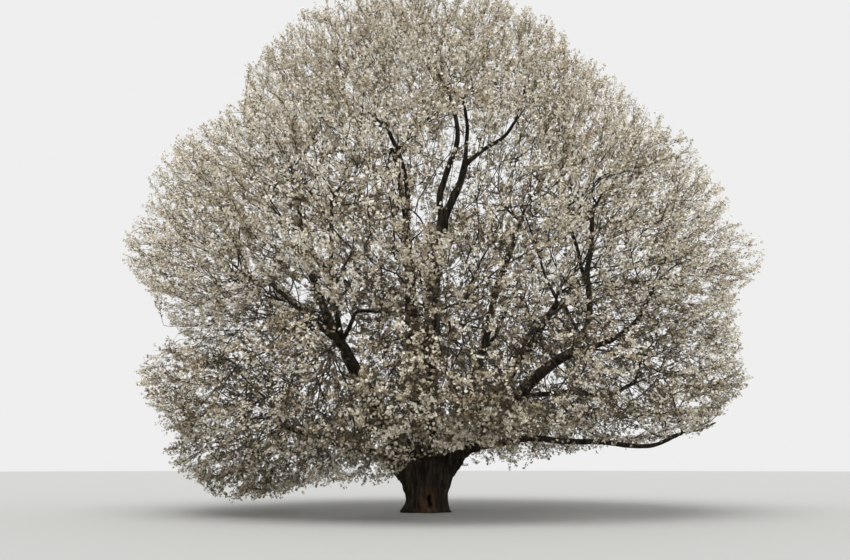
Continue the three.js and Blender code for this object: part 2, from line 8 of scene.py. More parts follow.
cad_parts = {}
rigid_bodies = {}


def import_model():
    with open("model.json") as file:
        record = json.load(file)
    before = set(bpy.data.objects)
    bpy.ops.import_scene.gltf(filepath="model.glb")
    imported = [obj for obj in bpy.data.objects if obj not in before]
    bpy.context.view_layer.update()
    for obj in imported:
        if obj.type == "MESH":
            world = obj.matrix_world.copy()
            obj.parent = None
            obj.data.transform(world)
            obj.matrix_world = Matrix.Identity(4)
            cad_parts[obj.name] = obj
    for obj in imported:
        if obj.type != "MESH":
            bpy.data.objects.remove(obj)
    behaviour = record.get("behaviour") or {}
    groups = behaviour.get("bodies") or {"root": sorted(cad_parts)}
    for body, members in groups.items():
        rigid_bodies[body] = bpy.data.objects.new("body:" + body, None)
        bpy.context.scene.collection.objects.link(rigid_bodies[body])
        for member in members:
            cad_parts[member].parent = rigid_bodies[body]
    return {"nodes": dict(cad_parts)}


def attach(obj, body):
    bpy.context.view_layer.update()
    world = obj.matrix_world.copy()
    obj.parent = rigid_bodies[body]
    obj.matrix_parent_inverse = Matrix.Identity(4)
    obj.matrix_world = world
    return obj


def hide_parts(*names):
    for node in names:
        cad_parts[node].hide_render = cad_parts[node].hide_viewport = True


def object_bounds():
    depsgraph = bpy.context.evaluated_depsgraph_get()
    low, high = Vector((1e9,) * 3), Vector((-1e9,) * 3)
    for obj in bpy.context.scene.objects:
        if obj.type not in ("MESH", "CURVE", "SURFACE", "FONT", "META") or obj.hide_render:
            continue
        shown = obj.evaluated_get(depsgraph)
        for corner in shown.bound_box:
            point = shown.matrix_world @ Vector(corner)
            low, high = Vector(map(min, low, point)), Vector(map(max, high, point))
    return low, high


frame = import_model()
cadBox = [list(corner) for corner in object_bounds()]
nodeNames = sorted(frame["nodes"])
print("frame loaded:", len(nodeNames), "nodes")

# The picture's view: from this far in front of the trunk, at eye height, looking a little up.
# The focal length and the frame's width are in its pixels, the sensor's width in millimetres.
view = {"distance": 33, "eye": 1.6, "pitch": 10.48, "focal": 985, "frame": 850, "sensor": 36}

# The crown's shape, as in the solids
crown = {
    "axis": 0.5,  # its middle lies this far to the right of the trunk's foot
    "outline": [  # height, reach to the left, reach to the right
        (0.4, 6.7, 3.0), (1.2, 8.3, 4.2), (2.0, 8.7, 7.8), (2.9, 9.0, 9.6), (4.3, 9.5, 10.5),
        (5.7, 8.8, 10.4), (7.0, 9.4, 10.9), (8.6, 10.05, 11.15), (10.2, 9.6, 10.3),
        (11.7, 8.6, 9.2), (13.1, 7.0, 7.8), (14.45, 6.3, 6.0), (15.75, 5.2, 4.9),
        (16.9, 3.3, 3.5), (17.75, 0.9, 1.3),
    ],
    "depth": 0.92,
    "underside": {"left": 0.38, "front": 0.9, "right": 2.0, "back": 1.3},
    "vault": {"rise": 4.2, "reach": 6.0},
    "heart": np.array([0.5, 0, 7.5]),
    "ripple": 0,
    "openings": [
        {"at": (0.15, -6.5, 1.3), "size": (1.15, 5.8, 1.9), "rise": 0},  # in front of the trunk
        {"at": (1.9, 0, 12.9), "size": (1.6, 8, 1.15), "rise": 0.34},  # and along the high fork
    ],
}

# The same crown with its shoulders and notches, for the fine twigs
fineCrown = {
    **crown,
    "outline": [
        (0.4, 6.7, 3.0), (0.8, 7.5, 3.4), (1.2, 8.15, 3.8), (1.6, 8.5, 4.6), (2.0, 8.5, 6.6),
        (2.4, 8.3, 8.7), (2.8, 8.7, 9.5), (3.4, 9.2, 10.1), (4.1, 9.55, 10.5), (4.6, 9.4, 10.5),
        (5.2, 8.7, 10.45), (5.7, 8.1, 10.4), (6.3, 8.8, 10.5), (6.9, 9.4, 10.6), (7.5, 9.85, 11.05),
        (8.2, 10.0, 10.95), (9.0, 10.0, 10.55), (9.9, 9.6, 10.3), (10.4, 9.4, 10.1), (11.0, 9.1, 9.6),
        (11.6, 8.6, 9.2), (12.1, 8.3, 8.4), (12.4, 7.5, 8.25), (12.9, 6.7, 7.95), (13.4, 6.45, 7.7),
        (13.8, 6.45, 7.3), (14.2, 6.5, 6.6), (14.7, 6.3, 5.85), (15.4, 5.9, 5.35), (16.0, 5.4, 4.95),
        (16.6, 4.5, 4.2), (17.1, 3.4, 3.7), (17.5, 2.1, 2.9), (17.8, 1.0, 1.5),
    ],
    "ripple": 0.016,
    "openings": [
        {"at": (0.5, -6.5, 1.12), "size": (1.35, 6.0, 0.76), "rise": 0},  # in front of the trunk
        {"at": (1.35, -4.6, 1.66), "size": (0.75, 4.6, 0.4), "rise": 0},  # and of the right limb's foot
    ],
}

# The masses' middles: belts round the crown, each with the reach and height of its middles
allSides = ["right", "back_right", "back", "back_left", "left", "front_left", "front", "front_right"]
azimuths = {side: 45 * place for place, side in enumerate(allSides)}
belts = {
    "low": {
        "sides": allSides,
        "reach": {"right": 7.1, "back": 6.5, "left": 7.1, "front": 6.5},
        "height": {"right": 5.0, "back": 4.0, "left": 3.4, "front": 3.8},
    },
    "middle": {
        "sides": allSides,
        "reach": {"right": 7.35, "back": 6.6, "left": 7.2, "front": 6.3},
        "height": {"right": 8.7, "back": 8.3, "left": 8.6, "front": 7.9},
    },
    "high": {
        "sides": ["right", "back_right", "back_left", "left", "front_left", "front_right"],
        "reach": {"right": 4.9, "back": 4.5, "left": 4.6, "front": 4.4},
        "height": {"right": 12.2, "back": 11.9, "left": 12.3, "front": 11.6},
    },
    "top": {
        "sides": ["right", "back", "left", "front"],
        "reach": {"right": 2.5, "back": 2.7, "left": 2.9, "front": 2.9},
        "height": {"right": 14.7, "back": 14.3, "left": 14.9, "front": 14.0},
    },
}
lone = {
    "peak": (0.6, 0.15, 16.0),
    "lowest_right": (8.1, -0.9, 2.7),
    "inner_left": (-0.9, -1.0, 7.0),
    "inner_right": (2.6, -0.6, 6.5),
}

# How twigs grow: first the few that the solids have, then the fine ones
twig = {
    "box": 3.7, "branches": 3, "closest": 0.8, "sharpest": -0.2, "detour": 0.6, "turning": 0.5,
    "hugging": 1.2, "keepOff": 0.11, "clearance": 0.09, "tipClearance": 3, "skip": 0.26,
    "scatter": [
        {"tries": 1500, "depth": 0.42, "spacing": 1.5},
        {"tries": 300, "depth": 9.0, "spacing": 1.6},
    ],
}
fine = {
    "seed": 7, "branches": 3, "closest": 0.86, "sharpest": -0.1, "detour": 0.35, "turning": 0.6,
    "hugging": 0.7, "keepOff": 0.04, "clearance": 0.03, "growth": 2.4, "tries": 9000,
    "step": 0.42, "wander": 0.1, "leastWander": 0.3, "straightness": 0.4,
    "layers": [  # depth under the crown's surface and the spacing of twigs down to it
        (0.5, 0.42), (1.2, 0.45), (2.2, 0.49), (3.4, 0.55), (9.0, 0.68),
    ],
    "patches": {"size": 1.5, "strength": 0.55, "range": (-0.35, 0.6)},  # where they stand thin or thick
    "veil": 0.12,  # how much closer they stand in front of the veiled limbs
    "tipRadius": 0.0045,
}
noise.seed_set(fine["seed"])  # without it the limbs bend another way in each run


def unit(vectors):
    return vectors / np.maximum(np.linalg.norm(vectors, axis=-1, keepdims=True), 1e-9)


# Numbers from 0 to 1, the same as the source's
def seededDraws(seed, count):
    low = np.uint64(0xFFFFFFFF)
    state = (np.uint64(seed) + np.uint64(0x6D2B79F5) * np.arange(1, count + 1, dtype=np.uint64)) & low
    mixed = ((state ^ (state >> np.uint64(15))) * (state | np.uint64(1))) & low
    turned = ((mixed ^ (mixed >> np.uint64(7))) * (mixed | np.uint64(61))) & low
    mixed = ((mixed + turned) & low) ^ mixed
    return ((mixed ^ (mixed >> np.uint64(14))) & low).astype(float) / 4294967296


# A value that turns smoothly from side to side round the crown
def aroundCrown(sizes, turn):
    across = np.cos(turn) ** 2
    sideways = np.where(np.cos(turn) > 0, sizes["right"], sizes["left"])
    deep = np.where(np.sin(turn) > 0, sizes["back"], sizes["front"])
    return across * sideways + (1 - across) * deep


def layOutMasses():
    middles = {}
    for belt, sizes in belts.items():
        for side in sizes["sides"]:
            turn = math.radians(azimuths[side])
            reach = float(aroundCrown(sizes["reach"], turn))
            height = float(aroundCrown(sizes["height"], turn))
            across = crown["axis"] + reach * math.cos(turn)
            middles[belt + "_" + side] = (across, reach * math.sin(turn), height)
    middles.update(lone)
    return {
        name: {"centre": np.array(middle), "seed": 101 + place}  # the source's seeds
        for place, (name, middle) in enumerate(middles.items())
    }


masses = layOutMasses()
centres = np.array([mass["centre"] for mass in masses.values()])


# A smooth line through points, as the source's: centripetal, read by its length
class Line:
    def __init__(self, points):
        self.points = np.array(points, float)
        self.shares = np.linspace(0, 1, 201)
        places = self.place(self.shares)
        steps = np.linalg.norm(np.diff(places, axis=0), axis=1)
        self.lengths = np.concatenate([[0], np.cumsum(steps)])
        self.length = self.lengths[-1]

    def place(self, shares):
        points = self.points
        shares = np.atleast_1d(np.clip(shares, 0, 1))
        last = len(points) - 2
        before = 2 * points[0] - points[1]
        after = 2 * points[-1] - points[-2]
        padded = np.vstack([before, points, after])
        index = np.minimum((shares * (last + 1)).astype(int), last)
        weight = (shares * (last + 1) - index)[:, None]
        p0, p1, p2, p3 = (padded[index + k] for k in range(4))
        d0, d1, d2 = (
            np.linalg.norm(b - a, axis=1, keepdims=True) ** 0.5 for a, b in ((p0, p1), (p1, p2), (p2, p3))
        )
        t1 = ((p1 - p0) / d0 - (p2 - p0) / (d0 + d1) + (p2 - p1) / d1) * d1
        t2 = ((p2 - p1) / d1 - (p3 - p1) / (d1 + d2) + (p3 - p2) / d2) * d1
        square = -3 * p1 + 3 * p2 - 2 * t1 - t2
        cube = 2 * p1 - 2 * p2 + t1 + t2
        return p1 + weight * (t1 + weight * (square + weight * cube))

    def at(self, shares):
        return self.place(np.interp(np.atleast_1d(shares) * self.length, self.lengths, self.shares))

    def way(self, shares):
        where = np.interp(np.atleast_1d(shares) * self.length, self.lengths, self.shares)
        return unit(self.place(where + 1e-4) - self.place(where - 1e-4))


# The boughs: what each grows from, its line, its radius at both ends and the masses at its tip
boughs = {
    "bough_leader": {
        "from": "trunk", "radii": (0.27, 0.19),
        "via": [(0.09, 0, 1.5), (0.17, 0.05, 3.64), (0.24, 0.08, 7.0), (0.62, 0.08, 9.9)],
    },
    "bough_left": {
        "from": "trunk", "radii": (0.265, 0.185),
        "via": [
            (-0.08, -0.02, 1.25), (-0.96, -0.25, 2.3), (-1.79, -0.5, 3.59), (-2.62, -0.7, 5.15),
            (-2.86, -0.78, 5.6),
        ],
    },
    "bough_right": {
        "from": "trunk", "radii": (0.275, 0.15),
        "via": [
            (0.2, -0.05, 1.25), (1.82, -0.15, 2.45), (3.48, -0.25, 4.16), (4.33, -0.3, 4.88),
            (5.1, -0.3, 5.3),
        ],
    },
    "bough_leader_left": {
        "from": "trunk", "radii": (0.19, 0.065), "feeds": ["top_left"],
        "via": [
            (-0.15, 0.12, 1.45), (-0.33, 0.25, 3.64), (-0.52, 0.2, 6.0), (-0.6, 0.05, 9.1),
            (-0.74, -0.1, 11.6), (-1.25, -0.25, 12.9),
        ],
    },
    "bough_leader_right": {
        "from": "trunk", "radii": (0.185, 0.075), "feeds": ["high_back_right"],
        "via": [(0.25, 0.2, 1.45), (1.35, 0.45, 3.7), (2.05, 0.7, 5.6), (2.5, 1.0, 7.5), (3.4, 1.5, 10.0)],
    },
    "bough_low_left": {
        "from": "trunk", "radii": (0.14, 0.08), "feeds": ["low_left"],
        "via": [(-0.15, -0.12, 1.05), (-1.3, -0.38, 1.8), (-2.8, -0.5, 2.2), (-4.45, -0.45, 2.7)],
    },
    "bough_low_right": {
        "from": ("bough_right", 0.2), "radii": (0.125, 0.06), "feeds": ["lowest_right"],
        "via": [
            (3.1, -0.42, 2.33), (4.6, -0.5, 2.29), (6.05, -0.5, 2.2), (7.35, -0.45, 2.13), (8.3, -0.4, 2.5),
        ],
    },
    "bough_right_low": {
        "from": ("bough_right", 0.6), "radii": (0.095, 0.058), "feeds": ["low_right"],
        "via": [(4.9, 0.15, 3.9), (6.24, 0.35, 3.84), (7.0, 0.45, 4.2)],
    },
    "bough_left_rise": {
        "from": ("bough_left", 0.97), "radii": (0.14, 0.075), "feeds": ["high_left"],
        "via": [(-3.3, -0.78, 6.5), (-3.65, -0.7, 7.4), (-4.08, -0.6, 8.6), (-4.3, -0.45, 10.3)],
    },
    "bough_left_out": {
        "from": ("bough_left", 0.95), "radii": (0.115, 0.07), "feeds": ["middle_left"],
        "via": [(-3.9, -0.65, 6.4), (-5.15, -0.3, 7.5)],
    },
    "bough_left_front": {
        "from": ("bough_left", 0.93), "radii": (0.1, 0.06), "feeds": ["high_front_left"],
        "via": [(-3.0, -1.8, 7.3), (-2.95, -2.65, 9.6)],
    },
    "bough_left_crook": {
        "from": ("bough_left", 0.96), "radii": (0.075, 0.05), "feeds": ["inner_left"],
        "via": [(-2.42, -0.88, 6.15), (-2.28, -0.95, 6.42), (-1.5, -1.15, 6.45)],
    },
    "bough_fork_left": {
        "from": ("bough_leader", 0.98), "radii": (0.13, 0.06), "feeds": ["peak"],
        "via": [(0.52, 0.12, 10.7), (0.77, 0.15, 11.6), (1.15, 0.2, 12.9), (0.9, 0.15, 14.3)],
    },
    "bough_fork_right": {
        "from": ("bough_leader", 0.975), "radii": (0.135, 0.105),
        "via": [(1.0, 0.04, 10.65), (1.2, 0.02, 11.1), (1.43, 0, 12.0)],
    },
    "bough_fork_up": {
        "from": ("bough_fork_right", 0.96), "radii": (0.075, 0.05), "feeds": ["top_front"],
        "via": [(1.44, -0.06, 12.5), (1.48, -0.35, 13.0), (1.3, -1.3, 13.6)],
    },
    "bough_fork_out": {
        "from": ("bough_fork_right", 0.9), "radii": (0.08, 0.052), "feeds": ["top_right"],
        "via": [(2.17, -0.05, 12.39), (2.8, -0.1, 12.8), (3.12, -0.15, 13.27)],
    },
    "bough_right_rise": {
        "from": ("bough_right", 0.97), "radii": (0.12, 0.07), "feeds": ["high_right"],
        "via": [(5.5, -0.3, 6.33), (5.48, -0.28, 7.98), (5.65, -0.2, 8.78), (5.76, -0.1, 9.98)],
    },
    "bough_right_out": {
        "from": ("bough_right", 0.95), "radii": (0.105, 0.062), "feeds": ["middle_right"],
        "via": [(6.3, -0.25, 5.65), (7.15, -0.2, 6.3), (7.6, -0.15, 7.15)],
    },
    "bough_right_front": {
        "from": ("bough_right_rise", 0.45), "radii": (0.072, 0.048), "feeds": ["high_front_right"],
        "via": [(5.0, -1.4, 8.5), (4.55, -2.2, 9.6)],
    },
    "bough_inner_right": {
        "from": ("bough_leader_right", 0.42), "radii": (0.07, 0.045), "feeds": ["inner_right"],
        "via": [(2.5, -0.1, 6.1), (2.85, -0.5, 6.9)],
    },
}

# Boughs on the other sides, each with a low and a middle mass
paired = {
    "sides": ["front_left", "front", "front_right", "back_right", "back", "back_left"],
    "inset": 1.75, "start": (0.12, 1.3), "knee": (1.15, 2.5), "bendShare": 0.6, "bendHeight": 4.0,
    "radii": (0.16, 0.085),
}


# Where two masses share one bough: halfway between them, drawn in towards the trunk
def seatBetween(first, second, inset):
    a, b = masses[first]["centre"], masses[second]["centre"]
    line = unit(b - a)
    middle = (a + b) / 2
    inwards = np.array([-middle[0], -middle[1], 0])
    inwards = unit(inwards - line * inwards.dot(line))
    return middle + inwards * inset


for side in paired["sides"]:
    turn = math.radians(azimuths[side])
    feeds = ["low_" + side, "middle_" + side]
    tip = seatBetween(*feeds, paired["inset"])
    (startOut, startHeight), (kneeOut, kneeHeight) = paired["start"], paired["knee"]
    boughs["bough_" + side] = {
        "from": "trunk", "radii": paired["radii"], "feeds": feeds,
        "via": [
            (startOut * math.cos(turn), startOut * math.sin(turn), startHeight),
            (kneeOut * math.cos(turn), kneeOut * math.sin(turn), kneeHeight),
            (tip[0] * paired["bendShare"], tip[1] * paired["bendShare"], paired["bendHeight"]),
            tuple(tip),
        ],
    }
boughs["bough_back_rise"] = {
    "from": "trunk", "radii": (0.165, 0.075), "feeds": ["high_back_left", "top_back"],
    "via": [
        (-0.06, 0.2, 1.5), (-0.35, 1.05, 4.2), (-0.45, 1.5, 8.0),
        tuple(seatBetween("high_back_left", "top_back", 1.5)),
    ],
}

swelling = {"size": 0.22, "share": 0.12}  # of a bough where it leaves its parent
for bough in boughs.values():
    via = [np.array(point, float) for point in bough["via"]]
    if bough["from"] != "trunk":
        parent, share = bough["from"]
        via.insert(0, boughs[parent]["line"].at(share)[0])
    bough["line"] = Line(via)


def boughRadius(bough, share):
    first, last = bough["radii"]
    swell = 1 + swelling["size"] * np.maximum(0, 1 - share / swelling["share"]) ** 2
    return (first + (last - first) * share) * swell


# Whether places lie inside the crown's outline, over its vault and outside the openings
def inCrown(points, shape=crown):
    points = np.atleast_2d(points)
    x, y, z = points.T
    turn = np.arctan2(y, x)
    heights, lefts, rights = (np.array(column) for column in zip(*shape["outline"]))
    left, right = np.interp(z, heights, lefts), np.interp(z, heights, rights)
    depth = shape["depth"] * (left + right) / 2
    reach = 1 / np.hypot(np.cos(turn) / np.where(x < 0, left, right), np.sin(turn) / depth)
    waves = np.sin(7 * turn + 1.9 * z) + np.sin(13 * turn - 1.1 * z + 1)
    reach *= 1 + shape["ripple"] * (waves - 1)
    radius = np.hypot(x, y)
    lowest = aroundCrown(shape["underside"], turn)
    vault = shape["vault"]["rise"] * np.maximum(0, 1 - radius / shape["vault"]["reach"]) ** 2
    inside = (z >= heights[0]) & (z < heights[-1]) & (radius < reach) & (z > lowest + vault)
    for opening in shape["openings"]:
        offset = points - np.array(opening["at"])
        offset[:, 2] -= opening["rise"] * offset[:, 1]
        inside &= np.linalg.norm(offset / np.array(opening["size"]), axis=1) >= 1
    return inside


# A mass's space reaches halfway to each of its neighbours
def inSpace(mass, points, keep):
    points = np.atleast_2d(points)
    own = ((points - mass["centre"]) ** 2).sum(1)[:, None]
    others = centres[np.linalg.norm(centres - mass["centre"], axis=1) > 1e-6]
    apart = np.linalg.norm(others - mass["centre"], axis=1)[None]
    away = ((points[:, None] - others[None]) ** 2).sum(-1)
    return ((away - own) / (2 * apart) > keep).all(axis=1)


# The few tips that the solids have
def scatterTips(mass):
    tips = []
    draws = seededDraws(mass["seed"], 3 * sum(layer["tries"] for layer in twig["scatter"])).reshape(-1, 3)
    places = (2 * draws - 1) * twig["box"] + mass["centre"]
    begin = 0
    for layer in twig["scatter"]:
        some = places[begin:begin + layer["tries"]]
        begin += layer["tries"]
        beyond = some + unit(some - crown["heart"]) * layer["depth"]
        good = inCrown(some) & ~inCrown(beyond) & inSpace(mass, some, twig["keepOff"])
        some = some[good]
        some = some[roomToBoughs(some, some) > twig["clearance"] * twig["tipClearance"]]
        for tip in some:
            if all(np.linalg.norm(tip - other) > layer["spacing"] for other in tips):
                tips.append(tip)
    return tips


# Limbs that the picture shows between the blossom: from and to which share of their length,
# half the width that is kept clear in front of them, and how clear
shown = {
    "bough_left": (0.8, 1, 0.24, 0.93),
    "bough_left_crook": (0, 1, 0.14, 0.95),
    "bough_left_rise": (0.12, 0.3, 0.1, 0.5),
    "bough_fork_left": (0, 0.8, 0.25, 0.94),
    "bough_fork_right": (0, 1, 0.28, 0.95),
    "bough_fork_out": (0, 1, 0.2, 0.9),
    "bough_fork_up": (0, 1, 0.15, 0.8),
    "bough_leader_left": (0.8, 0.97, 0.14, 0.75),
    "bough_leader_right": (0.45, 0.56, 0.13, 0.6),
    "bough_right": (0.62, 0.93, 0.18, 0.88),
    "bough_right_rise": (0.3, 1, 0.12, 0.6),
    "bough_right_out": (0.35, 0.7, 0.1, 0.3),
    "bough_low_right": (0.3, 1, 0.13, 0.85),
}

# Limbs that blossom hangs thickly in front of, in the same order
veiled = {
    "bough_leader": (0.1, 0.98, 0.5, 1),
    "bough_leader_left": (0.08, 0.74, 0.45, 1),
    "bough_leader_right": (0.08, 0.42, 0.4, 1),
    "bough_left": (0.1, 0.75, 0.45, 1),
    "bough_left_rise": (0.34, 1, 0.35, 1),
    "bough_right": (0.2, 0.58, 0.5, 1),
    "bough_right_rise": (0, 0.3, 0.35, 0.7),
}

# Thin places that the sky shows through: across, height and half sizes at the trunk's distance, how thin
skyGaps = [
    (-4.2, 7.15, 0.35, 0.4, 0.9), (1.0, 7.85, 0.22, 0.3, 0.8), (-2.6, 6.2, 0.35, 0.4, 0.75),
    (1.9, 11.9, 1.7, 1.5, 0.5), (-0.22, 10.1, 0.3, 0.95, 0.9), (-1.0, 12.2, 0.7, 0.6, 0.4),
    (4.6, 8.4, 0.8, 0.4, 0.4), (9.2, 9.6, 0.6, 1.2, 0.2), (7.4, 8.0, 0.7, 0.3, 0.3),
    (8.2, 5.0, 0.5, 0.7, 0.45), (4.2, 4.2, 0.6, 0.45, 0.6), (6.8, 4.0, 0.5, 0.3, 0.5),
    (6.7, 2.68, 1.5, 0.3, 0.65), (6.8, 1.7, 2.2, 0.42, 1.0),
    (-8.6, 6.6, 1.1, 0.5, 0.5), (-6.6, 6.0, 1.0, 0.45, 0.4), (3.4, 10.2, 0.8, 0.5, 0.3),
]


# How limbs and gaps act on what stands in front of them
sight = {
    "steps": 30,  # places along a limb
    "ahead": 0.1,  # how much nearer to the viewer counts as in front
    "limbEase": 2, "gapEase": 1.6,  # how many half widths away it ends
    "twigShare": 0.9,  # how much of it thins the twigs
}


# Where places stand in the picture's own plane, at the trunk's distance
def seenAt(points):
    scale = view["distance"] / (view["distance"] + points[:, 1])
    return points[:, 0] * scale, view["eye"] + (points[:, 2] - view["eye"]) * scale


# How much places stand in front of some limbs: 0 not at all, 1 wholly
def before(points, limbs):
    across, height = seenAt(points)
    much = np.zeros(len(points))
    for name, (first, last, width, most) in limbs.items():
        line = boughs[name]["line"].at(np.linspace(first, last, sight["steps"]))
        lineAcross, lineHeight = seenAt(line)
        apart = np.hypot(across[:, None] - lineAcross, height[:, None] - lineHeight)
        nearest = apart.argmin(axis=1)
        inFront = points[:, 1] < line[nearest, 1] - sight["ahead"]
        ease = np.clip(sight["limbEase"] - apart.min(axis=1) / width, 0, 1)
        much = np.maximum(much, inFront * ease * most)
    return much


# How much places stand in the way of what the picture shows
def inTheWay(points):
    much = before(points, shown)
    across, height = seenAt(points)
    for gapAcross, gapHeight, halfWidth, halfHeight, thin in skyGaps:
        away = np.hypot((across - gapAcross) / halfWidth, (height - gapHeight) / halfHeight)
        much = np.maximum(much, np.clip(sight["gapEase"] - away, 0, 1) * thin)
    return much


# The ends of the fine twigs, closer together the nearer they are to the crown's surface
def scatterFine(mass, random):
    places = random.uniform(-1, 1, (fine["tries"], 3)) * twig["box"] + mass["centre"]
    places = places[inCrown(places, fineCrown)]
    places = places[inSpace(mass, places, fine["keepOff"])]
    places = places[random.random(len(places)) > inTheWay(places) * sight["twigShare"]]
    outwards = unit(places - crown["heart"])
    spacing = np.full(len(places), fine["layers"][-1][1])
    for depth, apart in reversed(fine["layers"]):
        spacing[~inCrown(places + outwards * depth, fineCrown)] = apart
    patches = np.array([noise.noise(Vector(place) / fine["patches"]["size"]) for place in places])
    spacing *= 1 + fine["patches"]["strength"] * np.clip(patches, *fine["patches"]["range"])
    spacing *= 1 - fine["veil"] * before(places, veiled)
    kept = np.empty((len(places), 3))
    count = 0
    for place, apart in zip(places, spacing):
        if count == 0 or ((kept[:count] - place) ** 2).sum(1).min() > apart ** 2:
            kept[count] = place
            count += 1
    return kept[:count]


mostTried = 8  # nodes that a new one may be joined to, the best first
growthRoom = {"coarse": 200, "spare": 600}  # nodes that there is room for


# A growing set of nodes, each joined to the one that makes the shortest way back to the stem
class Growth:
    def __init__(self, room):
        self.at = np.zeros((room, 3))
        self.parent = np.full(room, -1)
        self.path = np.zeros(room)
        self.heading = np.zeros((room, 3))
        self.ways = np.zeros((room, fine["branches"], 3))
        self.used = np.zeros(room, int)
        self.count = 0

    def add(self, at, parent):
        index = self.count
        self.at[index] = at
        self.parent[index] = parent
        if parent >= 0:
            away = at - self.at[parent]
            self.path[index] = self.path[parent] + np.linalg.norm(away)
            self.heading[index] = unit(away)
            if self.used[parent] < fine["branches"]:
                self.ways[parent, self.used[parent]] = self.heading[index]
            self.used[parent] += 1
        self.count += 1
        return index

    def join(self, tip, rule, skipAt=-1):
        n = self.count
        away = tip - self.at[:n]
        reach = np.linalg.norm(away, axis=1)
        away /= np.maximum(reach, 1e-9)[:, None]
        bearing = (self.heading[:n] * away).sum(1)
        outwards = away @ unit(tip - crown["heart"])
        bend = rule["turning"] * (1 - bearing) + rule["hugging"] * (1 - outwards)
        cost = reach * (1 + bend) + rule["detour"] * self.path[:n]
        near = np.einsum("nkc,nc->nk", self.ways[:n], away).max(axis=1)
        barred = (bearing < rule["sharpest"]) | (near > rule["closest"])
        barred |= self.used[:n] >= rule["branches"]
        barred[0] = True
        cost[barred] = np.inf
        for index in np.argsort(cost)[:mostTried]:
            if not np.isfinite(cost[index]):
                return -1
            start = self.at[index] + away[index] * (rule.get("skip", 0) if index == skipAt else 0)
            if roomToBoughs(start, tip)[0] > rule["clearance"]:
                return self.add(tip, index)
        return -1


# A mass's stem, in parts of its bough's radius, for one mass alone and for two that share a bough
stem = {
    "alone": {"offset": 0.7, "radius": 0.97}, "shared": {"offset": 0.42, "radius": 0.8},
    "apart": 0.02, "splay": 1.5, "length": 3,
    "inset": 0.25,  # how far inside the bough it begins, in metres
}


# The stem of a mass, inside the end of its bough, set to its own side where two masses share it
def stemOf(name):
    mass = masses[name]
    bough = next(one for one in boughs.values() if name in one.get("feeds", []))
    shared = len(bough["feeds"]) > 1
    size = stem["shared" if shared else "alone"]
    way = bough["line"].way(1)[0]
    radius = float(boughRadius(bough, 1))
    start = bough["line"].at(1)[0]
    onwards = way.copy()
    coarse = radius * size["offset"]
    if shared:
        one, other = (masses[fed]["centre"] for fed in bough["feeds"])
        across = unit(one - other) * (1 if name == bough["feeds"][0] else -1)
        aside = unit(across - way * across.dot(way))
        start = start + aside * (coarse + stem["apart"]) / aside.dot(across)
        onwards = unit(onwards + aside * stem["splay"])
    first = start + onwards * coarse * stem["length"]
    root = bough["line"].at(1 - stem["inset"] / bough["line"].length)[0]
    return start, first, root, radius * size["radius"]


def growMass(name):
    mass = masses[name]
    random = np.random.default_rng(fine["seed"] * 1000 + mass["seed"])
    start, first, root, radius = stemOf(name)
    coarse = Growth(growthRoom["coarse"])
    coarse.add(start, -1)
    coarse.add(first, 0)
    tips = sorted(scatterTips(mass), key=lambda tip: np.linalg.norm(tip - first))
    for tip in tips:
        coarse.join(tip, twig, skipAt=1)
    targets = scatterFine(mass, random)
    tree = Growth(2 * len(targets) + growthRoom["spare"])
    tree.add(root, -1)
    places = {0: tree.add(start, 0)}
    outside = ~inCrown(coarse.at[:coarse.count], fineCrown)
    for index in range(1, coarse.count):
        if coarse.parent[index] not in places or (outside[index] and coarse.used[index] == 0):
            continue
        base = coarse.at[coarse.parent[index]]
        line = coarse.at[index] - base
        length = np.linalg.norm(line)
        steps = max(1, math.ceil(length / fine["step"]))
        bow = np.cross(line, random.normal(size=3))
        bow = unit(bow) * length * fine["wander"] * random.uniform(fine["leastWander"], 1)
        last = places[coarse.parent[index]]
        for step in range(1, steps + 1):
            share = step / steps
            last = tree.add(base + line * share + bow * math.sin(math.pi * share), last)
        places[index] = last
    targets = targets[np.argsort(np.linalg.norm(targets - first, axis=1))]
    for target in targets:
        tree.join(target, fine)
    load = np.ones(tree.count)
    for index in range(tree.count - 1, 0, -1):
        load[tree.parent[index]] += load[index]
    share = load / load[1]
    tree.radius = np.maximum(fine["tipRadius"], radius * np.minimum(1, share) ** (1 / fine["growth"]))
    return tree


# Runs from the stem outwards, each following its heaviest and straightest branch to the end
def runsOf(tree):
    heir = np.full(tree.count, -1)
    best = np.full(tree.count, -1.0)
    for index in range(1, tree.count):
        parent = tree.parent[index]
        straight = tree.heading[index].dot(tree.heading[parent])
        worth = tree.radius[index] / tree.radius[parent] + fine["straightness"] * straight
        if worth > best[parent]:
            best[parent] = worth
            heir[parent] = index
    runs = []
    for index in range(1, tree.count):
        if index > 1 and heir[tree.parent[index]] == index:
            continue
        run = [tree.parent[index], index]
        while heir[run[-1]] >= 0:
            run.append(heir[run[-1]])
        runs.append(run)
    return runs


runLook = {"rootSwell": 1.1, "crook": 0.04, "tip": 0.55, "thick": 0.015}


# The run's nodes with a place between each two, on a smooth line with a little crookedness
def smoothRun(tree, run, random):
    at = tree.at[run]
    radii = tree.radius[run].copy()
    radii[0] = min(radii[0], radii[1] * runLook["rootSwell"])
    padded = np.vstack([2 * at[0] - at[1], at, 2 * at[-1] - at[-2]])
    middles = (-padded[:-3] + 9 * padded[1:-2] + 9 * padded[2:-1] - padded[3:]) / 16
    spans = np.linalg.norm(np.diff(at, axis=0), axis=1, keepdims=True)
    middles += random.normal(size=middles.shape) * spans * runLook["crook"]
    points = np.empty((2 * len(at) - 1, 3))
    points[::2] = at
    points[1::2] = middles
    sizes = np.empty(len(points))
    sizes[::2] = radii
    sizes[1::2] = (radii[:-1] + radii[1:]) / 2
    sizes[-1] *= runLook["tip"]
    return points, sizes


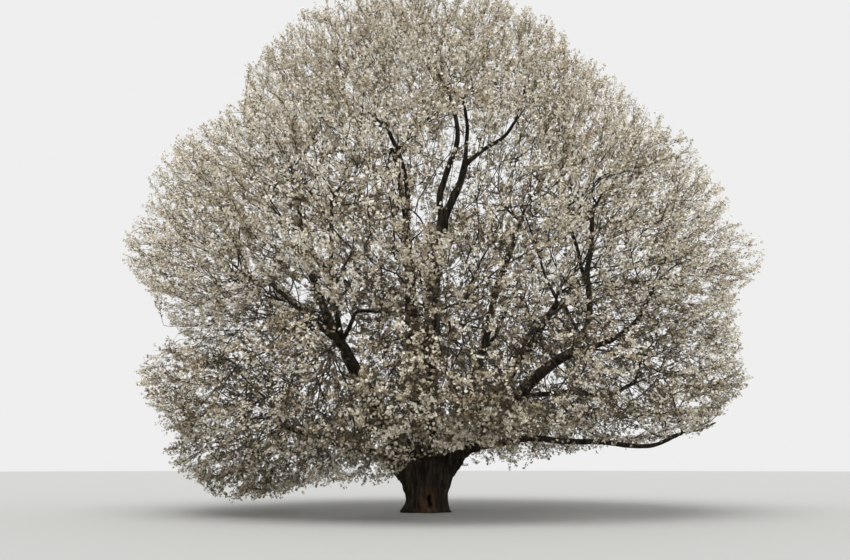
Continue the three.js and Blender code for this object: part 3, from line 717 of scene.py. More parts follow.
# A direction well off each way, the same for all but steep ones
def guideFor(ways, steep=0.9):
    return np.where(np.abs(ways[:, 2:3]) < steep, [[0, 0, 1.0]], [[1.0, 0, 0]])


# Two directions square to each way and to each other
def squareTo(ways, guide):
    across = unit(np.cross(ways, guide))
    return across, np.cross(ways, across)


# Tubes round many runs at once, with closed ends
def tubes(runs, sides):
    points = np.vstack([run[0] for run in runs])
    sizes = np.concatenate([run[1] for run in runs])
    lengths = np.array([len(run[0]) for run in runs])
    ends = np.cumsum(lengths) - 1
    starts = ends - lengths + 1
    ways = np.zeros_like(points)
    ways[1:] += points[1:] - points[:-1]
    ways[starts] = 0
    forward = np.zeros_like(points)
    forward[:-1] = points[1:] - points[:-1]
    forward[ends] = 0
    ways = unit(ways + forward)
    guide = guideFor(unit(points[ends] - points[starts]), 0.8)
    across, beside = squareTo(ways, np.repeat(guide, lengths, axis=0))
    turns = np.arange(sides) * 2 * math.pi / sides
    ring = across[:, None] * np.cos(turns)[None, :, None] + beside[:, None] * np.sin(turns)[None, :, None]
    vertices = (points[:, None] + ring * sizes[:, None, None]).reshape(-1, 3)
    lower = np.setdiff1d(np.arange(len(points)), ends)
    here = np.arange(sides)
    there = (here + 1) % sides
    base = lower[:, None] * sides
    quads = np.stack([base + here, base + there, base + sides + there, base + sides + here], axis=-1)
    caps = [starts[:, None] * sides + here[::-1], ends[:, None] * sides + here]
    return vertices, quads.reshape(-1, 4), np.vstack(caps)


# A mesh from arrays of vertices and several arrays of faces
def meshFrom(name, vertices, *groups):
    mesh = bpy.data.meshes.new(name)
    sizes = np.concatenate([np.full(len(faces), faces.shape[1]) for faces in groups])
    corners = np.concatenate([faces.ravel() for faces in groups]).astype(np.int32)
    mesh.vertices.add(len(vertices))
    mesh.vertices.foreach_set("co", np.asarray(vertices, np.float32).ravel())
    mesh.loops.add(len(corners))
    mesh.loops.foreach_set("vertex_index", corners)
    mesh.polygons.add(len(sizes))
    mesh.polygons.foreach_set("loop_start", (np.cumsum(sizes) - sizes).astype(np.int32))
    mesh.update(calc_edges=True)
    piece = bpy.data.objects.new(name, mesh)
    bpy.context.collection.objects.link(piece)
    return piece


def smooth(piece):
    piece.data.polygons.foreach_set("use_smooth", np.ones(len(piece.data.polygons), bool))
    piece.data.update()


def trianglesOf(piece):
    piece.data.calc_loop_triangles()
    return len(piece.data.loop_triangles)


# Shader maths as plain expressions
class Wire:
    def __init__(self, finish, socket):
        self.finish = finish
        self.socket = socket

    def maths(self, operation, first, second):
        return self.finish.node("ShaderNodeMath", {"operation": operation}, {0: first, 1: second})

    def __add__(self, other):
        return self.maths("ADD", self, other)

    def __radd__(self, other):
        return self.maths("ADD", other, self)

    def __sub__(self, other):
        return self.maths("SUBTRACT", self, other)

    def __rsub__(self, other):
        return self.maths("SUBTRACT", other, self)

    def __mul__(self, other):
        return self.maths("MULTIPLY", self, other)

    def __rmul__(self, other):
        return self.maths("MULTIPLY", other, self)

    def clamped(self):
        return self.finish.node("ShaderNodeClamp", {}, {"Value": self})

    # 0 up to a start and then rising to 1, the faster the greater the gain
    def over(self, start, gain):
        return ((self - start) * gain).clamped()


class Finish:
    def __init__(self, name):
        self.material = bpy.data.materials.new(name)
        self.material.use_nodes = True
        self.nodes = self.material.node_tree.nodes
        self.links = self.material.node_tree.links
        self.shader = self.nodes["Principled BSDF"]

    def node(self, kind, settings, sockets, output=0):
        made = self.nodes.new(kind)
        for key, value in settings.items():
            setattr(made, key, value)
        for key, value in sockets.items():
            self.feed(made.inputs[key], value)
        return Wire(self, made.outputs[output])

    def feed(self, socket, value):
        if isinstance(value, Wire):
            self.links.new(value.socket, socket)
        elif isinstance(value, tuple) and len(value) == 3 and socket.type == "RGBA":
            socket.default_value = (*value, 1)
        else:
            socket.default_value = value

    def set(self, **values):
        for key, value in values.items():
            self.feed(self.shader.inputs[key.replace("_", " ")], value)

    def places(self, scale=(1, 1, 1)):
        where = self.node("ShaderNodeTexCoord", {}, {}, "Object")
        return self.node("ShaderNodeMapping", {}, {"Vector": where, "Scale": scale})

    # From a middle, 1 at the given half sizes
    def distance(self, middle, size):
        where = self.node("ShaderNodeTexCoord", {}, {}, "Object")
        away = self.node("ShaderNodeVectorMath", {"operation": "SUBTRACT"}, {0: where, 1: middle})
        away = self.node("ShaderNodeVectorMath", {"operation": "DIVIDE"}, {0: away, 1: size})
        return self.node("ShaderNodeVectorMath", {"operation": "LENGTH"}, {0: away}, "Value")

    def noise(self, where, scale, detail=4, roughness=0.55):
        sockets = {"Vector": where, "Scale": scale, "Detail": detail, "Roughness": roughness}
        return self.node("ShaderNodeTexNoise", {}, sockets)

    def blend(self, share, first, second):
        return self.node(
            "ShaderNodeMix", {"data_type": "RGBA", "clamp_factor": True}, {0: share, 6: first, 7: second}, 2
        )

    def bump(self, height, distance):
        return self.node("ShaderNodeBump", {}, {"Height": height, "Distance": distance, "Strength": 1.0})


barkLook = {
    "dark": (0.006, 0.0045, 0.003), "plain": (0.03, 0.0205, 0.0115), "grey": (0.075, 0.059, 0.041),
    "moss": (0.031, 0.028, 0.012),
    "foot": (0.1, 0.052, 0.024),  # the bare reddish wood low in front
    "footAt": (0.08, -0.75, 0.3), "footSize": (0.45, 0.7, 0.75), "footEdge": 1.5,
    "furrows": (9, 9, 1.6), "grain": (46, 46, 14), "patches": 1.7,  # how often each turns in a metre
    # Above which of the noise each colour comes in, and how fast
    "plainOver": (0.36, 4), "greyOver": (0.76, 5), "mossOver": (0.56, 6), "footOver": (0.3, 3),
    "greyMost": 0.75, "mossMost": 0.6,
    "bump": 0.07, "grainBump": 0.35,
    # The hollows are painted near-black as painted shade, over the recesses carved in the trunk
    "hollowShadeDepth": 3.4, "hollowShadeEdge": 3, "hollowShadeGrain": 4,
    "hollows": [((0.12, -0.55, 0.44), (0.07, 0.3, 0.16)), ((0.17, -0.55, 0.26), (0.07, 0.3, 0.09))],
}


def barkFinish(name, footed):
    look = barkLook
    finish = Finish(name)
    furrows = finish.noise(finish.places(look["furrows"]), 1.0, 6, 0.6)
    grain = finish.noise(finish.places(look["grain"]), 1.0, 4, 0.6)
    patches = finish.noise(finish.places(), look["patches"], 3, 0.5)
    colour = finish.blend(furrows.over(*look["plainOver"]), look["dark"], look["plain"])
    ridges = (furrows + 0.5 * grain).over(*look["greyOver"])
    colour = finish.blend(ridges * look["greyMost"], colour, look["grey"])
    colour = finish.blend(patches.over(*look["mossOver"]) * look["mossMost"], colour, look["moss"])
    if footed:
        edge = look["footEdge"]
        low = (edge - edge * finish.distance(look["footAt"], look["footSize"])).clamped()
        colour = finish.blend(low * furrows.over(*look["footOver"]), colour, look["foot"])
        # Painted shade: the carved hollows darkened to the darkest bark colour, with a grainy edge
        for middle, size in look["hollows"]:
            deep = look["hollowShadeDepth"] - look["hollowShadeEdge"] * finish.distance(middle, size)
            deep = (deep + look["hollowShadeGrain"] * (grain - 0.5)).clamped()
            colour = finish.blend(deep, colour, look["dark"])
    finish.set(
        Base_Color=colour, Roughness=0.86 + 0.1 * grain,
        Normal=finish.bump(furrows + look["grainBump"] * grain, look["bump"]),
    )
    finish.shader.inputs["Specular IOR Level"].default_value = 0.25
    return finish.material


def twigFinish(name, dark, light):
    finish = Finish(name)
    bands = finish.noise(finish.places((20, 20, 20)), 1.0, 3)
    finish.set(
        Base_Color=finish.blend(bands.over(0.4, 3), dark, light), Roughness=0.7 + 0.2 * bands,
        Normal=finish.bump(bands, 0.004),
    )
    finish.shader.inputs["Specular IOR Level"].default_value = 0.3
    return finish.material


def petalFinish(name, tint, shade):
    finish = Finish(name)
    drift = finish.noise(finish.places(), 2.2, 3)
    finish.set(Base_Color=finish.blend(drift.over(0.35, 3), shade, tint), Roughness=0.62 + 0.2 * drift)
    finish.shader.inputs["Specular IOR Level"].default_value = 0.25
    return finish.material


def finished(piece, material, nodes):
    piece.data.materials.clear()
    piece.data.materials.append(material)
    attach(piece, "root")
    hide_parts(*nodes)
    print(piece.name, trianglesOf(piece), "triangles")


# Trunk
trunk = {
    "height": 2.05, "foot": 0.74, "waist": 0.6, "shoulder": 0.64, "waistHeight": 0.8, "shoulderAt": 0.8,
    "flareHeight": 0.33, "flare": 0.07, "domeFrom": 0.66, "dome": 0.87, "lean": 0.09,
    "lobes": 5, "lobeDepth": 0.13, "lobeTurn": 0.6, "lobeShares": (0.35, 0.75),  # all over and at the foot
    "sides": 128, "rings": 44, "voxel": 0.025, "soften": {"factor": 0.5, "rounds": 9},
    "collar": {  # the start of a limb, fused with the trunk
        "length": 1.7, "mostShare": 0.5, "steps": 24, "resolution": 6,
        "size": 1.04, "end": (0.93, 0.84, 0.72),
    },
    "furrow": {"depth": 0.075, "foot": 1.25, "fading": 0.28, "least": 0.35},  # shallower higher up
    "cutEase": 0.04,  # furrows run out so near the flat cut
    "hollows": [
        {"turn": -1.43, "width": 0.12, "height": 0.43, "tall": 0.2, "depth": 0.26},
        {"turn": -1.36, "width": 0.12, "height": 0.25, "tall": 0.13, "depth": 0.2},
    ],
    "filletNarrowing": 0.5, "filletPower": 2.2,
    "fillets": [  # where it swells out under a limb
        {"turn": -0.05, "wide": 0.85, "from": 0.4, "until": 1.7, "out": 0.62},
        {"turn": 3.3, "wide": 0.95, "from": -0.1, "until": 1.6, "out": 0.85},
    ],
}


# Straight stretches of every bough and the trunk, for keeping twigs off them
stretchFrom, stretchTo = [[0, 0, 0]], [[trunk["lean"], 0, trunk["height"]]]
stretchRadius = [trunk["foot"]]
stretchLength = 1.35
for bough in boughs.values():
    steps = max(3, int(bough["line"].length / stretchLength + 0.5))
    shares = np.linspace(0, 1, steps + 1)
    points = bough["line"].at(shares)
    stretchFrom.extend(points[:-1])
    stretchTo.extend(points[1:])
    stretchRadius.extend(boughRadius(bough, shares[:-1]))
stretchFrom, stretchTo, stretchRadius = map(np.array, (stretchFrom, stretchTo, stretchRadius))


# The least distance from each of several short lines to each stretch, less the stretch's radius
def roomToBoughs(starts, ends):
    a = np.atleast_2d(starts)[:, None]
    b = np.atleast_2d(ends)[:, None]
    c, d = stretchFrom[None], stretchTo[None]
    u, v, w = b - a, d - c, a - c
    uu = np.maximum((u * u).sum(-1), 1e-12)
    uv = (u * v).sum(-1)
    vv = (v * v).sum(-1)
    uw = (u * w).sum(-1)
    vw = (v * w).sum(-1)
    square = uu * vv - uv * uv
    s = np.where(square > 1e-9, np.clip((uv * vw - vv * uw) / np.maximum(square, 1e-12), 0, 1), 0)
    t = (uv * s + vw) / vv
    held = np.clip(t, 0, 1)
    s = np.where(held != t, np.clip((uv * held - uw) / uu, 0, 1), s)
    apart = w + u * s[..., None] - v * held[..., None]
    return (np.linalg.norm(apart, axis=-1) - stretchRadius[None]).min(axis=1)


def trunkRadius(height, turn):
    foot = max(0, 1 - height / trunk["flareHeight"]) ** 2
    spread = max(0, 1 - height / trunk["waistHeight"]) ** 2
    top = trunk["height"] * trunk["shoulderAt"]
    rise = min(1, max(0, (height - trunk["waistHeight"]) / (top - trunk["waistHeight"])))
    shoulder = rise * rise * (3 - 2 * rise)
    always, atFoot = trunk["lobeShares"]
    lobes = trunk["lobeDepth"] * math.cos(trunk["lobes"] * turn + trunk["lobeTurn"])
    plain = trunk["waist"] + (trunk["foot"] - trunk["waist"]) * spread
    plain += (trunk["shoulder"] - trunk["waist"]) * shoulder
    for hollow in trunk["hollows"]:
        aside = math.remainder(turn - hollow["turn"], 2 * math.pi) / hollow["width"]
        upwards = (height - hollow["height"]) / hollow["tall"]
        plain -= hollow["depth"] * max(0, 1 - aside ** 2 - upwards ** 2) ** 0.5
    for fillet in trunk["fillets"]:
        rise = min(1, max(0, (height - fillet["from"]) / (fillet["until"] - fillet["from"])))
        narrowed = fillet["wide"] * (1 - trunk["filletNarrowing"] * rise)
        aside = math.remainder(turn - fillet["turn"], 2 * math.pi) / narrowed
        plain += fillet["out"] * rise ** trunk["filletPower"] * max(0, 1 - aside ** 2)
    return plain * (1 + lobes * (always + atFoot * spread) + trunk["flare"] * foot)


# A tapering tube as a curve with a bevel, turned into a mesh
def limbTube(name, points, sizes, resolution):
    bpy.ops.curve.primitive_nurbs_path_add()
    piece = bpy.context.object
    piece.name = name
    curve = piece.data
    curve.splines.clear()
    spline = curve.splines.new("POLY")
    spline.points.add(len(points) - 1)
    spline.points.foreach_set("co", np.hstack([points, np.ones((len(points), 1))]).ravel())
    spline.points.foreach_set("radius", sizes)
    curve.dimensions = "3D"
    curve.twist_mode = "MINIMUM"
    curve.bevel_depth = 1
    curve.bevel_resolution = resolution
    curve.use_fill_caps = True
    bpy.ops.object.convert(target="MESH")
    return bpy.context.object


def joined(pieces, name):
    bpy.ops.object.select_all(action="DESELECT")
    for piece in pieces:
        piece.select_set(True)
    bpy.context.view_layer.objects.active = pieces[0]
    bpy.ops.object.join()
    pieces[0].name = name
    return pieces[0]


def readOut(rows, key):
    values = np.empty(len(rows) * 3, np.float32)
    rows.foreach_get(key, values)
    return values.reshape(-1, 3).astype(float)


# Where a piece's vertices are and which way they face
def surfaceOf(piece):
    return readOut(piece.data.vertices, "co"), readOut(piece.data.vertex_normals, "vector")


def moveVertices(piece, places):
    piece.data.vertices.foreach_set("co", places.astype(np.float32).ravel())
    piece.data.update()


# Furrowed bark: ridges that run up the limbs, deeper on thick wood
relief = {
    "ridges": {"scale": (9, 9, 1.8), "shift": (0, 0, 0), "share": 0.5},
    "fissures": {"scale": (15, 15, 2.6), "shift": (7, 0, 0), "share": 0.35, "narrow": 2.2},
    "knobs": {"scale": (3.1, 3.1, 2.3), "shift": (0, 0, 5), "share": 0.8},
}


def barkNoise(place, look):
    moved = [at * scale + shift for at, scale, shift in zip(place, look["scale"], look["shift"])]
    return noise.noise(Vector(moved))


def reliefAt(place, depth):
    ridges, fissures, knobs = (barkNoise(place, look) for look in relief.values())
    fissures = 1 - relief["fissures"]["narrow"] * abs(fissures)
    shares = [look["share"] for look in relief.values()]
    return depth * (shares[0] * ridges + shares[1] * fissures + shares[2] * knobs)


def collarShare(line):
    return min(trunk["collar"]["mostShare"], trunk["collar"]["length"] / line.length)


def makeTrunk():
    bpy.ops.object.select_all(action="DESELECT")
    bpy.ops.mesh.primitive_cylinder_add(vertices=trunk["sides"], radius=1, depth=1, location=(0, 0, 0))
    core = bpy.context.object
    bpy.ops.object.mode_set(mode="EDIT")
    bpy.ops.mesh.select_mode(type="EDGE")
    bpy.ops.mesh.select_all(action="DESELECT")
    bpy.ops.object.mode_set(mode="OBJECT")
    for edge in core.data.edges:
        low, high = (core.data.vertices[index].co.z for index in edge.vertices)
        edge.select = abs(low - high) > 0.5
    bpy.ops.object.mode_set(mode="EDIT")
    bpy.ops.mesh.subdivide(number_cuts=trunk["rings"] - 1)
    bpy.ops.object.mode_set(mode="OBJECT")
    for vertex in core.data.vertices:
        share = vertex.co.z + 0.5
        height = trunk["height"] * share
        turn = math.atan2(vertex.co.y, vertex.co.x)
        overTop = max(0, share - trunk["domeFrom"]) / (1 - trunk["domeFrom"])
        radius = trunkRadius(height, turn) * math.sqrt(1 - trunk["dome"] * overTop ** 2)
        lean = trunk["lean"] * min(1, height / trunk["waistHeight"])
        vertex.co = (radius * math.cos(turn) + lean, radius * math.sin(turn), height)
    parts = [core]
    for name, bough in boughs.items():
        if bough["from"] != "trunk":
            continue
        line = bough["line"]
        collar = trunk["collar"]
        shares = np.linspace(0, collarShare(line), collar["steps"])
        sizes = boughRadius(bough, shares) * collar["size"]
        sizes[-3:] *= collar["end"]
        bpy.ops.object.select_all(action="DESELECT")
        parts.append(limbTube(name + "_collar", line.at(shares), sizes, collar["resolution"]))
    piece = joined(parts, "trunk_bark")
    remesh = piece.modifiers.new("fuse", "REMESH")
    remesh.mode = "VOXEL"
    remesh.voxel_size = trunk["voxel"]
    bpy.ops.object.modifier_apply(modifier="fuse")
    soften = piece.modifiers.new("soften", "SMOOTH")
    soften.factor = trunk["soften"]["factor"]
    soften.iterations = trunk["soften"]["rounds"]
    bpy.ops.object.modifier_apply(modifier="soften")
    places, normals = surfaceOf(piece)
    furrow = trunk["furrow"]
    depths = furrow["depth"] * np.clip(furrow["foot"] - places[:, 2] * furrow["fading"], furrow["least"], 1)
    shift = np.array([reliefAt(place, depth) for place, depth in zip(places, depths)])
    foot = np.clip(places[:, 2] / trunk["cutEase"], 0, 1)
    places += normals * (shift * foot)[:, None]
    places[:, 2] = np.maximum(places[:, 2], 0)
    moveVertices(piece, places)
    smooth(piece)
    return piece


limbLook = {
    "step": 0.085, "resolution": 5, "relief": 0.16, "mostRelief": 0.035,
    "crook": 0.05, "crookScale": 0.9, "crookEase": 0.6,
    "overlap": 0.25, "start": (0.84, 0.92, 0.97),  # inside the trunk's collars
}


# The boughs from their collars to their tips, with a swelling and slightly crooked line
def makeBoughs():
    parts = []
    for name, bough in boughs.items():
        line = bough["line"]
        collared = bough["from"] == "trunk"
        begin = collarShare(line) - limbLook["overlap"] / line.length if collared else 0
        count = max(8, int(line.length * (1 - begin) / limbLook["step"]))
        shares = np.linspace(begin, 1, count)
        points = line.at(shares)
        sizes = boughRadius(bough, shares)
        bends = np.array([noise.noise_vector(Vector(point) * limbLook["crookScale"]) for point in points])
        ease = np.minimum(shares - begin, 1 - shares) * line.length / limbLook["crookEase"]
        points = points + bends * (limbLook["crook"] * np.minimum(1, ease))[:, None]
        if collared:
            sizes[:3] *= limbLook["start"]
        bpy.ops.object.select_all(action="DESELECT")
        tube = limbTube(name + "_tube", points, sizes, limbLook["resolution"])
        places, normals = surfaceOf(tube)
        nearest = ((places[:, None] - points[None]) ** 2).sum(-1).argmin(axis=1)
        depths = np.minimum(limbLook["mostRelief"], sizes[nearest] * limbLook["relief"])
        shift = np.array([reliefAt(place, depth) for place, depth in zip(places, depths)])
        moveVertices(tube, places + normals * shift[:, None])
        parts.append(tube)
    piece = joined(parts, "bough_bark")
    smooth(piece)
    return piece


trunkPiece = makeTrunk()
print("trunk shaped")
boughPiece = makeBoughs()
print("boughs shaped")

# Twigs
random = np.random.default_rng(fine["seed"])
grown = {name: growMass(name) for name in masses}
print("twigs grown:", sum(tree.count for tree in grown.values()), "nodes")

thick, thin = [], []
for name, tree in grown.items():
    for run in runsOf(tree):
        points, sizes = smoothRun(tree, run, random)
        if sizes.max() > runLook["thick"]:
            thick.append((points, sizes))
        else:
            thin.append((points[::2], sizes[::2]))
print("runs:", len(thick), "thick,", len(thin), "thin")

# Blossoming shoots: how many leave each place on the twigs, by its depth under the crown's surface
shootLook = {
    "bearing": 0.014,  # twigs thicker than this bear none
    "depths": [0.5, 1.3, 2.6],
    "counts": [4.5, 3.2, 2.1, 1.4],
    "atEnds": 1.5,  # times as many at the end of a twig
    "veil": 0.9,  # more of them in front of the veiled limbs, in patches
    "veilPatches": {"scale": 1.3, "middle": 0.5, "contrast": 2.2, "range": (-0.6, 1.3)},
    "top": {"from": 9.0, "until": 15.0, "more": 0.3},  # and high in the crown
    "low": {"from": 5.0, "until": 2.0, "more": 0.25},  # and low
    "length": (0.24, 0.5),
    "atSurface": {"longer": 1.25, "spread": 0.62},  # the outermost are longer and more alike in their way
    "radius": 0.0055,
    "forward": 0.75, "outward": 0.5, "upward": 0.4, "spread": 0.6,
    "risingFrom": 0.3, "risingHeight": 10, "risingMost": 1.1,  # they point up more, the higher they grow
    "tipShare": 0.6,  # of those at a twig's end, how many sit on its very tip
    "overhang": 0.05,
    "boxRoom": 0.011,  # how far past the solids' box they may reach, in parts of it
}


# The solids' box and a little more, which the shoots stay inside
boxLow, boxHigh = (np.array(corner) for corner in cadBox)
boxRoom = (boxHigh - boxLow) * shootLook["boxRoom"]
boxLow, boxHigh = boxLow - boxRoom, boxHigh + boxRoom


# How deep places lie under the crown's surface, from 0 at the surface to 3
def depthOf(points):
    outwards = unit(points - crown["heart"])
    return sum(inCrown(points + outwards * depth, fineCrown).astype(int) for depth in shootLook["depths"])


def makeShoots(trees):
    at = np.vstack([tree.at[2:tree.count] for tree in trees])
    root = np.vstack([tree.at[tree.parent[2:tree.count]] for tree in trees])
    heading = np.vstack([tree.heading[2:tree.count] for tree in trees])
    size = np.concatenate([tree.radius[2:tree.count] for tree in trees])
    ending = np.concatenate([tree.used[2:tree.count] == 0 for tree in trees])
    depth = depthOf(at)
    many = np.array(shootLook["counts"])[depth] * np.where(ending, shootLook["atEnds"], 1)
    patches = shootLook["veilPatches"]
    broken = np.array([noise.noise(Vector(place) * patches["scale"]) for place in at])
    broken = np.clip(patches["middle"] + patches["contrast"] * broken, *patches["range"])
    many *= 1 + shootLook["veil"] * before(at, veiled) * broken
    for band in (shootLook["top"], shootLook["low"]):
        many *= 1 + band["more"] * np.clip((at[:, 2] - band["from"]) / (band["until"] - band["from"]), 0, 1)
    many = np.where(size < shootLook["bearing"], many, 0)
    source = np.repeat(np.arange(len(at)), np.floor(many + random.random(len(at))).astype(int))
    atTip = ending[source] & (random.random(len(source)) < shootLook["tipShare"])
    along = np.where(atTip, 1, random.random(len(source)))
    start = root[source] + (at[source] - root[source]) * along[:, None]
    outward = unit(start - crown["heart"])
    rising = np.clip(start[:, 2:3] / shootLook["risingHeight"], 0, shootLook["risingMost"])
    outermost = depth[source] == 0
    spread = shootLook["spread"] * np.where(outermost, shootLook["atSurface"]["spread"], 1)
    way = unit(
        heading[source] * shootLook["forward"]
        + outward * shootLook["outward"]
        + np.array([0, 0, 1]) * shootLook["upward"] * (shootLook["risingFrom"] + rising)
        + random.normal(size=start.shape) * spread[:, None]
    )
    length = random.uniform(*shootLook["length"], len(start))
    length *= np.where(outermost, shootLook["atSurface"]["longer"], 1)
    end = start + way * length[:, None]
    kept = inCrown(end - outward * shootLook["overhang"], fineCrown)
    kept &= ((end > boxLow) & (end < boxHigh)).all(axis=1)
    kept &= random.random(len(start)) > inTheWay((start + end) / 2)
    print("shoots:", int(kept.sum()), "of", len(kept))
    return start[kept], way[kept], length[kept], depth[source][kept]


shootStart, shootWay, shootLength, shootDepth = makeShoots(list(grown.values()))


# Thin three-sided spikes with closed feet
def spikes(start, way, length, radius):
    across, beside = squareTo(way, guideFor(way))
    corners = [start + way * length[:, None]]
    for turn in (0, 2 * math.pi / 3, 4 * math.pi / 3):
        corners.append(start + (across * math.cos(turn) + beside * math.sin(turn)) * radius)
    vertices = np.stack(corners, axis=1).reshape(-1, 3)
    faces = np.array([[0, 1, 2], [0, 2, 3], [0, 3, 1], [1, 3, 2]])
    every = (np.arange(len(start)) * 4)[:, None, None] + faces[None]
    return vertices, every.reshape(-1, 3)


# Blossom along the shoots in small round bunches, one of them at the tip
bunchLook = {
    "spacing": 0.13, "uneven": 0.12,
    "aside": (0.01, 0.035),  # how far its middle stands off the shoot
    "flowers": [2.6, 2.4, 2.1, 1.9],  # by depth
    "radius": (0.016, 0.03),  # how far the flowers stand from its middle
    "lean": 0.5,  # how much they face away from the shoot
    "open": 0.3,  # the share of open flowers, the others are half open
    "size": [(0.035, 0.044), (0.036, 0.047), (0.044, 0.058), (0.05, 0.066)],  # by depth
    "halfOpenSize": 0.96,
}
counts = np.round(shootLength / bunchLook["spacing"] + random.uniform(-0.5, 0.5, len(shootLength)))
counts = np.maximum(1, counts).astype(int)
bunchShoot = np.repeat(np.arange(len(counts)), counts)
order = np.arange(len(bunchShoot)) - np.repeat(np.cumsum(counts) - counts, counts)
share = (order + 1) / counts[bunchShoot] + random.uniform(-bunchLook["uneven"], 0, len(bunchShoot))
aside = random.normal(size=(len(bunchShoot), 3))
aside -= shootWay[bunchShoot] * (aside * shootWay[bunchShoot]).sum(1, keepdims=True)
aside = unit(aside) * random.uniform(*bunchLook["aside"], len(bunchShoot))[:, None]
bunchAt = shootStart[bunchShoot] + shootWay[bunchShoot] * (shootLength[bunchShoot] * share)[:, None] + aside

many = np.floor(np.array(bunchLook["flowers"])[shootDepth[bunchShoot]] + random.random(len(bunchShoot)))
flowerBunch = np.repeat(np.arange(len(bunchShoot)), many.astype(int))
flowerOut = random.normal(size=(len(flowerBunch), 3))
flowerOut = unit(flowerOut + unit(aside[flowerBunch]) * bunchLook["lean"])
reach = random.uniform(*bunchLook["radius"], len(flowerBunch))
flowerAt = bunchAt[flowerBunch] + flowerOut * reach[:, None]
sizes = np.array(bunchLook["size"])[shootDepth[bunchShoot[flowerBunch]]]
flowerSize = sizes[:, 0] + (sizes[:, 1] - sizes[:, 0]) * random.random(len(sizes))
flowerOpen = random.random(len(flowerBunch)) < bunchLook["open"]
print("bunches:", len(bunchShoot), "flowers:", len(flowerBunch))


# A flower of a few petals, each a wedge that widens from the middle and lifts to its tip
def flowerShape(petals, halfWidth, lift):
    turns = np.arange(petals) * 2 * math.pi / petals
    edges = np.stack([turns - halfWidth, turns + halfWidth], axis=1).ravel()
    rim = np.stack([np.cos(edges), np.sin(edges), np.full(len(edges), lift)], axis=1)
    faces = np.array([[0, 1 + 2 * k, 2 + 2 * k] for k in range(petals)])
    return np.vstack([[[0, 0, 0]], rim]), faces


# Many copies of one small shape, each set to face its own way at its own size
def scattered(shape, faces, at, facing, size):
    across, beside = squareTo(facing, guideFor(facing))
    spin = random.uniform(0, 2 * math.pi, len(at))[:, None]
    first = across * np.cos(spin) + beside * np.sin(spin)
    second = np.cross(facing, first)
    corners = (
        at[:, None]
        + shape[None, :, 0:1] * (first * size[:, None])[:, None]
        + shape[None, :, 1:2] * (second * size[:, None])[:, None]
        + shape[None, :, 2:3] * (facing * size[:, None])[:, None]
    )
    every = (np.arange(len(at)) * len(shape))[:, None, None] + faces[None]
    return corners.reshape(-1, 3), every.reshape(-1, faces.shape[1])


# Plain petal tints in linear light. How dull a spray is, from 0 to 1, picks its tint; that value also
# carries painted shade, so the darker tints stand partly for shade deep and low in the crown.
tints = {
    "blossom_white": {"tint": (0.84, 0.79, 0.70), "shade": (0.75, 0.70, 0.60), "until": 0.34},
    "blossom_ivory": {"tint": (0.71, 0.645, 0.52), "shade": (0.62, 0.56, 0.44), "until": 0.48},
    "blossom_cream": {"tint": (0.55, 0.485, 0.36), "shade": (0.48, 0.415, 0.295), "until": 0.61},
    "blossom_buff": {"tint": (0.39, 0.325, 0.22), "shade": (0.33, 0.27, 0.18), "until": 0.78},
    # The darkest tint is painted shade, far darker than the petals, dealt mostly to sprays deep and low in
    # the crown
    "blossom_painted_shade": {"tint": (0.15, 0.12, 0.075), "shade": (0.1, 0.08, 0.05), "until": 9},
}
dealing = {
    "low": 2, "high": 11.5,  # between these heights
    # foot and the depth weights are painted shade: they darken the tints of sprays low in the crown and
    # deep under its surface
    "height": 0.04, "foot": 0.14, "depthShadeLow": 0.8, "depthShadeHigh": 0.32, "patch": 0.32, "patchSize": 1.1,
    "spray": 0.16,  # chance from spray to spray
    # The chance from bunch to bunch is larger low in the crown: random tone, and on average painted shade
    # on the low crown
    "bunchLow": 0.72, "bunchHigh": 0.36,  # and from bunch to bunch
}


# Higher sprays are a little duller, in soft patches and with some chance; deeper sprays, the more so low in
# the crown, and the lowest sprays are darkened as painted shade
middles = shootStart + shootWay * shootLength[:, None] / 2
patches = np.array([noise.noise(Vector(place) / dealing["patchSize"]) for place in middles])
rising = np.clip((middles[:, 2] - dealing["low"]) / (dealing["high"] - dealing["low"]), 0, 1)
depthShade = dealing["depthShadeLow"] * (1 - rising) + dealing["depthShadeHigh"] * rising
dullnessAndShade = (
    dealing["height"] * rising
    + dealing["foot"] * (1 - rising) ** 2
    + depthShade * shootDepth / 3
    + dealing["patch"] * patches
    + dealing["spray"] * random.random(len(middles))
)
chance = dealing["bunchHigh"] + (dealing["bunchLow"] - dealing["bunchHigh"]) * (1 - rising) ** 2
bunchDullnessAndShade = dullnessAndShade[bunchShoot] + chance[bunchShoot] * random.random(len(bunchShoot))
flowerDullnessAndShade = bunchDullnessAndShade[flowerBunch]
massNodes = [name for name in nodeNames if name.startswith("blossom_")]
mostTriangles = 196000  # in one piece


# A piece of joined small shapes, or several where it would have too many triangles
def scatterPieces(name, parts, material, nodes):
    vertices = np.vstack([corners for corners, faces in parts])
    offsets = np.cumsum([0] + [len(corners) for corners, faces in parts])
    faces = np.vstack([faces + offset for (corners, faces), offset in zip(parts, offsets)])
    count = math.ceil(len(faces) / mostTriangles)
    for place, some in enumerate(np.array_split(faces, count)):
        used, renumbered = np.unique(some, return_inverse=True)
        label = name if count == 1 else name + "_" + "abcdefgh"[place]
        finished(meshFrom(label, vertices[used], renumbered.reshape(-1, 3)), material, nodes)


flowerKinds = [
    {"which": flowerOpen, "shape": flowerShape(petals=5, halfWidth=0.5, lift=0.24), "size": 1},
    {
        "which": ~flowerOpen, "shape": flowerShape(petals=3, halfWidth=0.72, lift=0.75),
        "size": bunchLook["halfOpenSize"],
    },
]
least = -9
for name, look in tints.items():
    mine = (flowerDullnessAndShade >= least) & (flowerDullnessAndShade < look["until"])
    least = look["until"]
    parts = []
    for kind in flowerKinds:
        some = mine & kind["which"]
        sizes = flowerSize[some] * kind["size"]
        parts.append(scattered(*kind["shape"], flowerAt[some], flowerOut[some], sizes))
    petals = petalFinish(name + "_petals", look["tint"], look["shade"])
    scatterPieces(name, parts, petals, massNodes)

